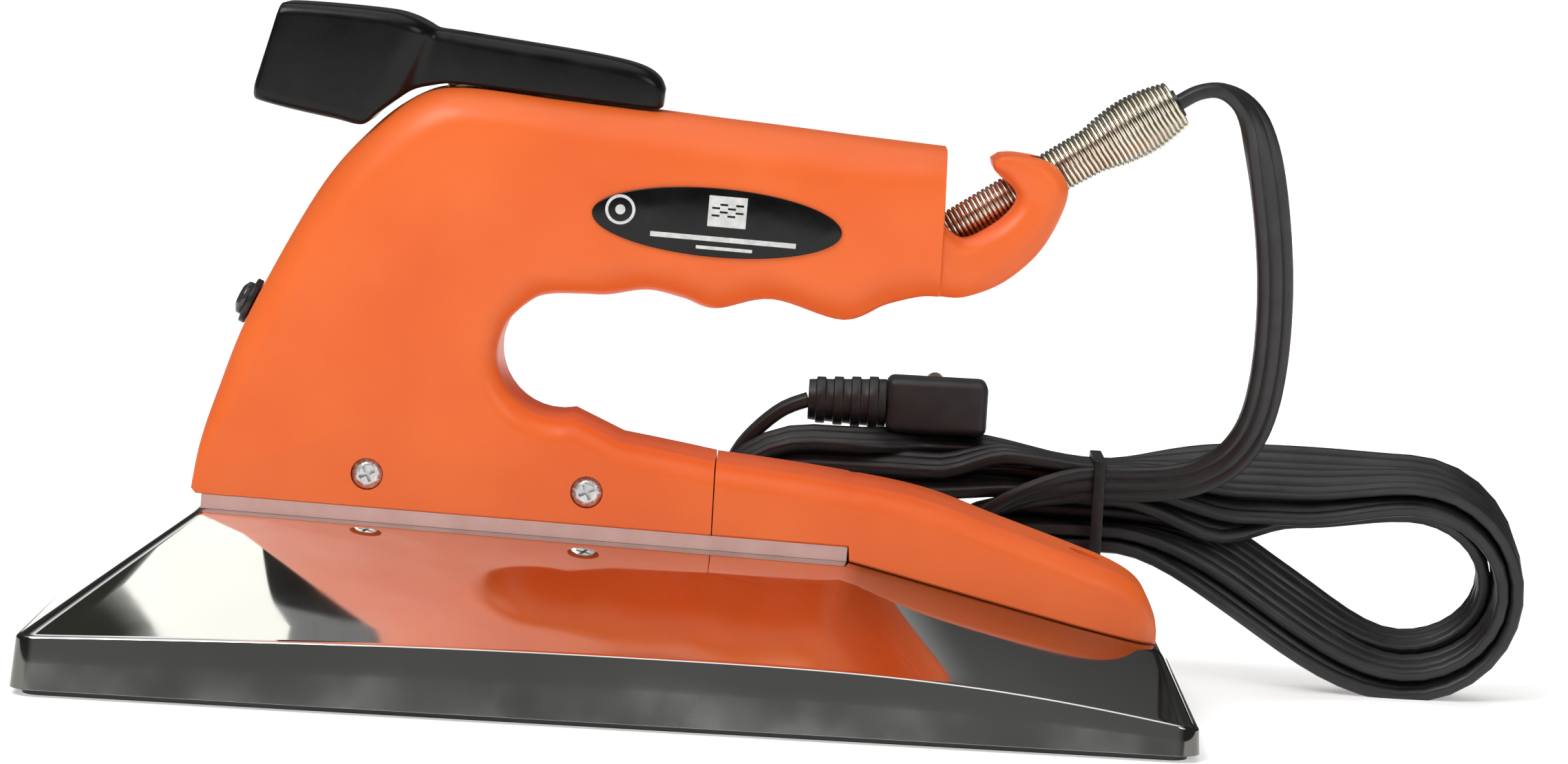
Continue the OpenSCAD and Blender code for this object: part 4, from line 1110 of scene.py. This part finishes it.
# Bores for the shaft, the screw's shank and its head
cut(lever, [rod(Matrix.Identity(4), -14, 11, 3.05), rod(Matrix.Identity(4), 8, 14, 1.3),
            rod(Matrix.Identity(4), 11, 20, 3)])
lever.data.transform(ON_LEVER)
finish(lever, lever_resin, "lever", smooth=40)
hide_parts("control_lever")
finish(softened("gasket_strip", "deck_gasket", 0.3), gasket_rubber)
finish(softened("foot_screw_set", "foot_screws", 0, dissolve=2), zinc_steel)
finish(softened("pilot_bezel_ring", "pilot_bezel", 0.3, dissolve=2), bezel_abs)
finish(softened("pilot_lens_cap", "pilot_lens", 0.35, dissolve=2), lens_glass)
finish(softened("tail_screw_pin", "tail_screw", 0.3, dissolve=2), zinc_steel)

# ------------------------------------------------------------------ finishes of the CAD nodes
NODE_FINISHES = {
    "sole_plate": sole_metal, "heating_element": element_steel, "clamp_bars": sheet_steel,
    "clamp_screws": zinc_steel, "element_terminals": ceramic, "insulation_board": mica_board,
    "hood": chrome, "hood_screws": zinc_steel, "deck_gasket": gasket_rubber,
    "mounting_bracket": sheet_steel, "handle_near": orange_nylon, "handle_far": orange_nylon,
    "foot_screws": zinc_steel, "grip_screw": zinc_steel, "badge": plate_black,
    "tail_cover": orange_nylon, "tail_screw": zinc_steel, "pilot_bezel": bezel_abs,
    "pilot_lens": lens_glass, "pilot_bulb": lamp_glass, "thermostat_base": ceramic,
    "thermostat_blades": bronze, "thermostat_bridge": sheet_steel,
    "thermostat_screws": zinc_steel, "control_shaft": zinc_steel, "shaft_bush": brass,
    "control_lever": lever_resin, "lever_screw": zinc_steel, "spring_collar": dark_rubber,
    "relief_spring": nickel_wire, "cord_core": cord_pvc, "inner_cord": cord_pvc,
    "cord_clamp": dark_rubber, "clamp_bolts": zinc_steel, "terminal_block": block_ivory,
    "terminal_screws": brass, "deck_grommet": dark_rubber, "wire_live": wire_brown,
    "wire_neutral": wire_blue, "wire_link": wire_red, "wire_earth": wire_green,
    "earth_screw": brass, "cord_run": cord_pvc, "cord_hank": cord_pvc, "cord_tail": cord_pvc,
    "cord_tie": tie_plastic, "plug_relief": plug_pvc, "plug_body": plug_pvc,
    "plug_blades": brass}
for name, node in nodes.items():
    node.data.materials.clear()
    node.data.materials.append(NODE_FINISHES[name])

# ------------------------------------------------------------------ floor and light
deselect()
bpy.ops.mesh.primitive_plane_add(size=60, location=(0, 0, -0.0002))
floor = bpy.context.object
floor.name = "studio_floor"
floor_paper, tree, shader, where = new_finish(
    "pale_studio_paper", "F4F3F1", 0.9, Emission_Color=(1, 1, 1, 1))
patch_tone(tree, shader, where, "F3F2F0", "F6F5F3", 120)
grain(tree, shader, where, 1.5, 0.01, 0.2)
away = add_node(tree, "ShaderNodeVectorMath", {0: where}, operation="LENGTH")
lift = add_node(tree, "ShaderNodeMapRange", {"Value": away.outputs["Value"], "From Min": 0.4,
                                             "From Max": 2.2, "To Min": 0.34, "To Max": 0.66})
tree.links.new(lift.outputs["Result"], shader.inputs["Emission Strength"])
floor.data.materials.append(floor_paper)

world = bpy.data.worlds.new("studio_world")
scene.world = world
world.use_nodes = True
sky = world.node_tree
back = sky.nodes["Background"]
direction = add_node(sky, "ShaderNodeTexCoord").outputs["Generated"]
# Bright overhead, dim round the horizon
bright = add_node(sky, "ShaderNodeVectorMath", {0: direction, 1: (-0.15, -0.05, 0.99)},
                  operation="DOT_PRODUCT")
glow = add_node(sky, "ShaderNodeMapRange", {"Value": bright.outputs["Value"], "From Min": 0.72,
                                            "From Max": 0.92, "To Min": 0.1, "To Max": 1.3},
                interpolation_type="SMOOTHSTEP")
sky.links.new(glow.outputs["Result"], back.inputs["Strength"])
back.inputs["Color"].default_value = (1, 1, 1, 1)


def turn_to(thing, place, aim):
    thing.location = place
    thing.rotation_euler = (Vector(aim) - Vector(place)).to_track_quat("-Z", "Y").to_euler()


def softbox(name, place, aim, size, power, shows=True):
    """A round soft light. One that doesn't show is left out of reflections."""
    light = bpy.data.lights.new(name, "AREA")
    light.shape = "DISK"
    light.size = size
    light.energy = power
    lamp = bpy.data.objects.new(name, light)
    scene.collection.objects.link(lamp)
    turn_to(lamp, place, aim)
    lamp.visible_glossy = shows


softbox("key_light", (-0.7, -1.0, 1.5), (0.02, 0, 0.06), 1.0, 19)
softbox("fill_light", (1.1, -1.3, 0.9), (0.05, 0, 0.06), 0.9, 6)
softbox("back_light", (0.2, 1.6, 1.3), (0.03, 0.4, 0.0), 1.4, 14, False)
CARD_AIM = (0, -0.04, 0.02)


def gloss_card(name, place, size, stretch, shade, strength):
    """A soft round card that only mirrors see, for the shapes a studio leaves in chrome."""
    deselect()
    bpy.ops.mesh.primitive_circle_add(vertices=48, radius=size, fill_type="NGON",
                                      location=(0, 0, 0))
    card = bpy.context.object
    card.name = name
    card.scale.x = stretch
    turn_to(card, place, CARD_AIM)
    paper = bpy.data.materials.new(name + "_paper")
    paper.use_nodes = True
    tree = paper.node_tree
    tree.nodes.remove(tree.nodes["Principled BSDF"])
    centre = add_node(tree, "ShaderNodeTexCoord").outputs["Object"]
    out_from = add_node(tree, "ShaderNodeVectorMath", {0: centre}, operation="LENGTH")
    soft = add_node(tree, "ShaderNodeMapRange", {"Value": out_from.outputs["Value"],
                                                 "From Min": size, "From Max": size * 0.55},
                    interpolation_type="SMOOTHSTEP")
    glow = add_node(tree, "ShaderNodeEmission", {"Color": linear(shade), "Strength": strength})
    clear = add_node(tree, "ShaderNodeBsdfTransparent")
    both = add_node(tree, "ShaderNodeMixShader", {0: soft.outputs["Result"],
                                                  1: clear.outputs["BSDF"],
                                                  2: glow.outputs["Emission"]})
    tree.links.new(both.outputs["Shader"], tree.nodes["Material Output"].inputs["Surface"])
    card.data.materials.append(paper)
    card.visible_camera = card.visible_diffuse = card.visible_shadow = False


gloss_card("dark_card_over_nose", (-0.265, 0.10, 0.62), 0.10, 1.0, "34342F", 1.0)
gloss_card("pale_card_over_nose", (-0.13, 0.11, 0.66), 0.12, 1.3, "F8F8F2", 1.6)

scene.view_settings.view_transform = "Standard"
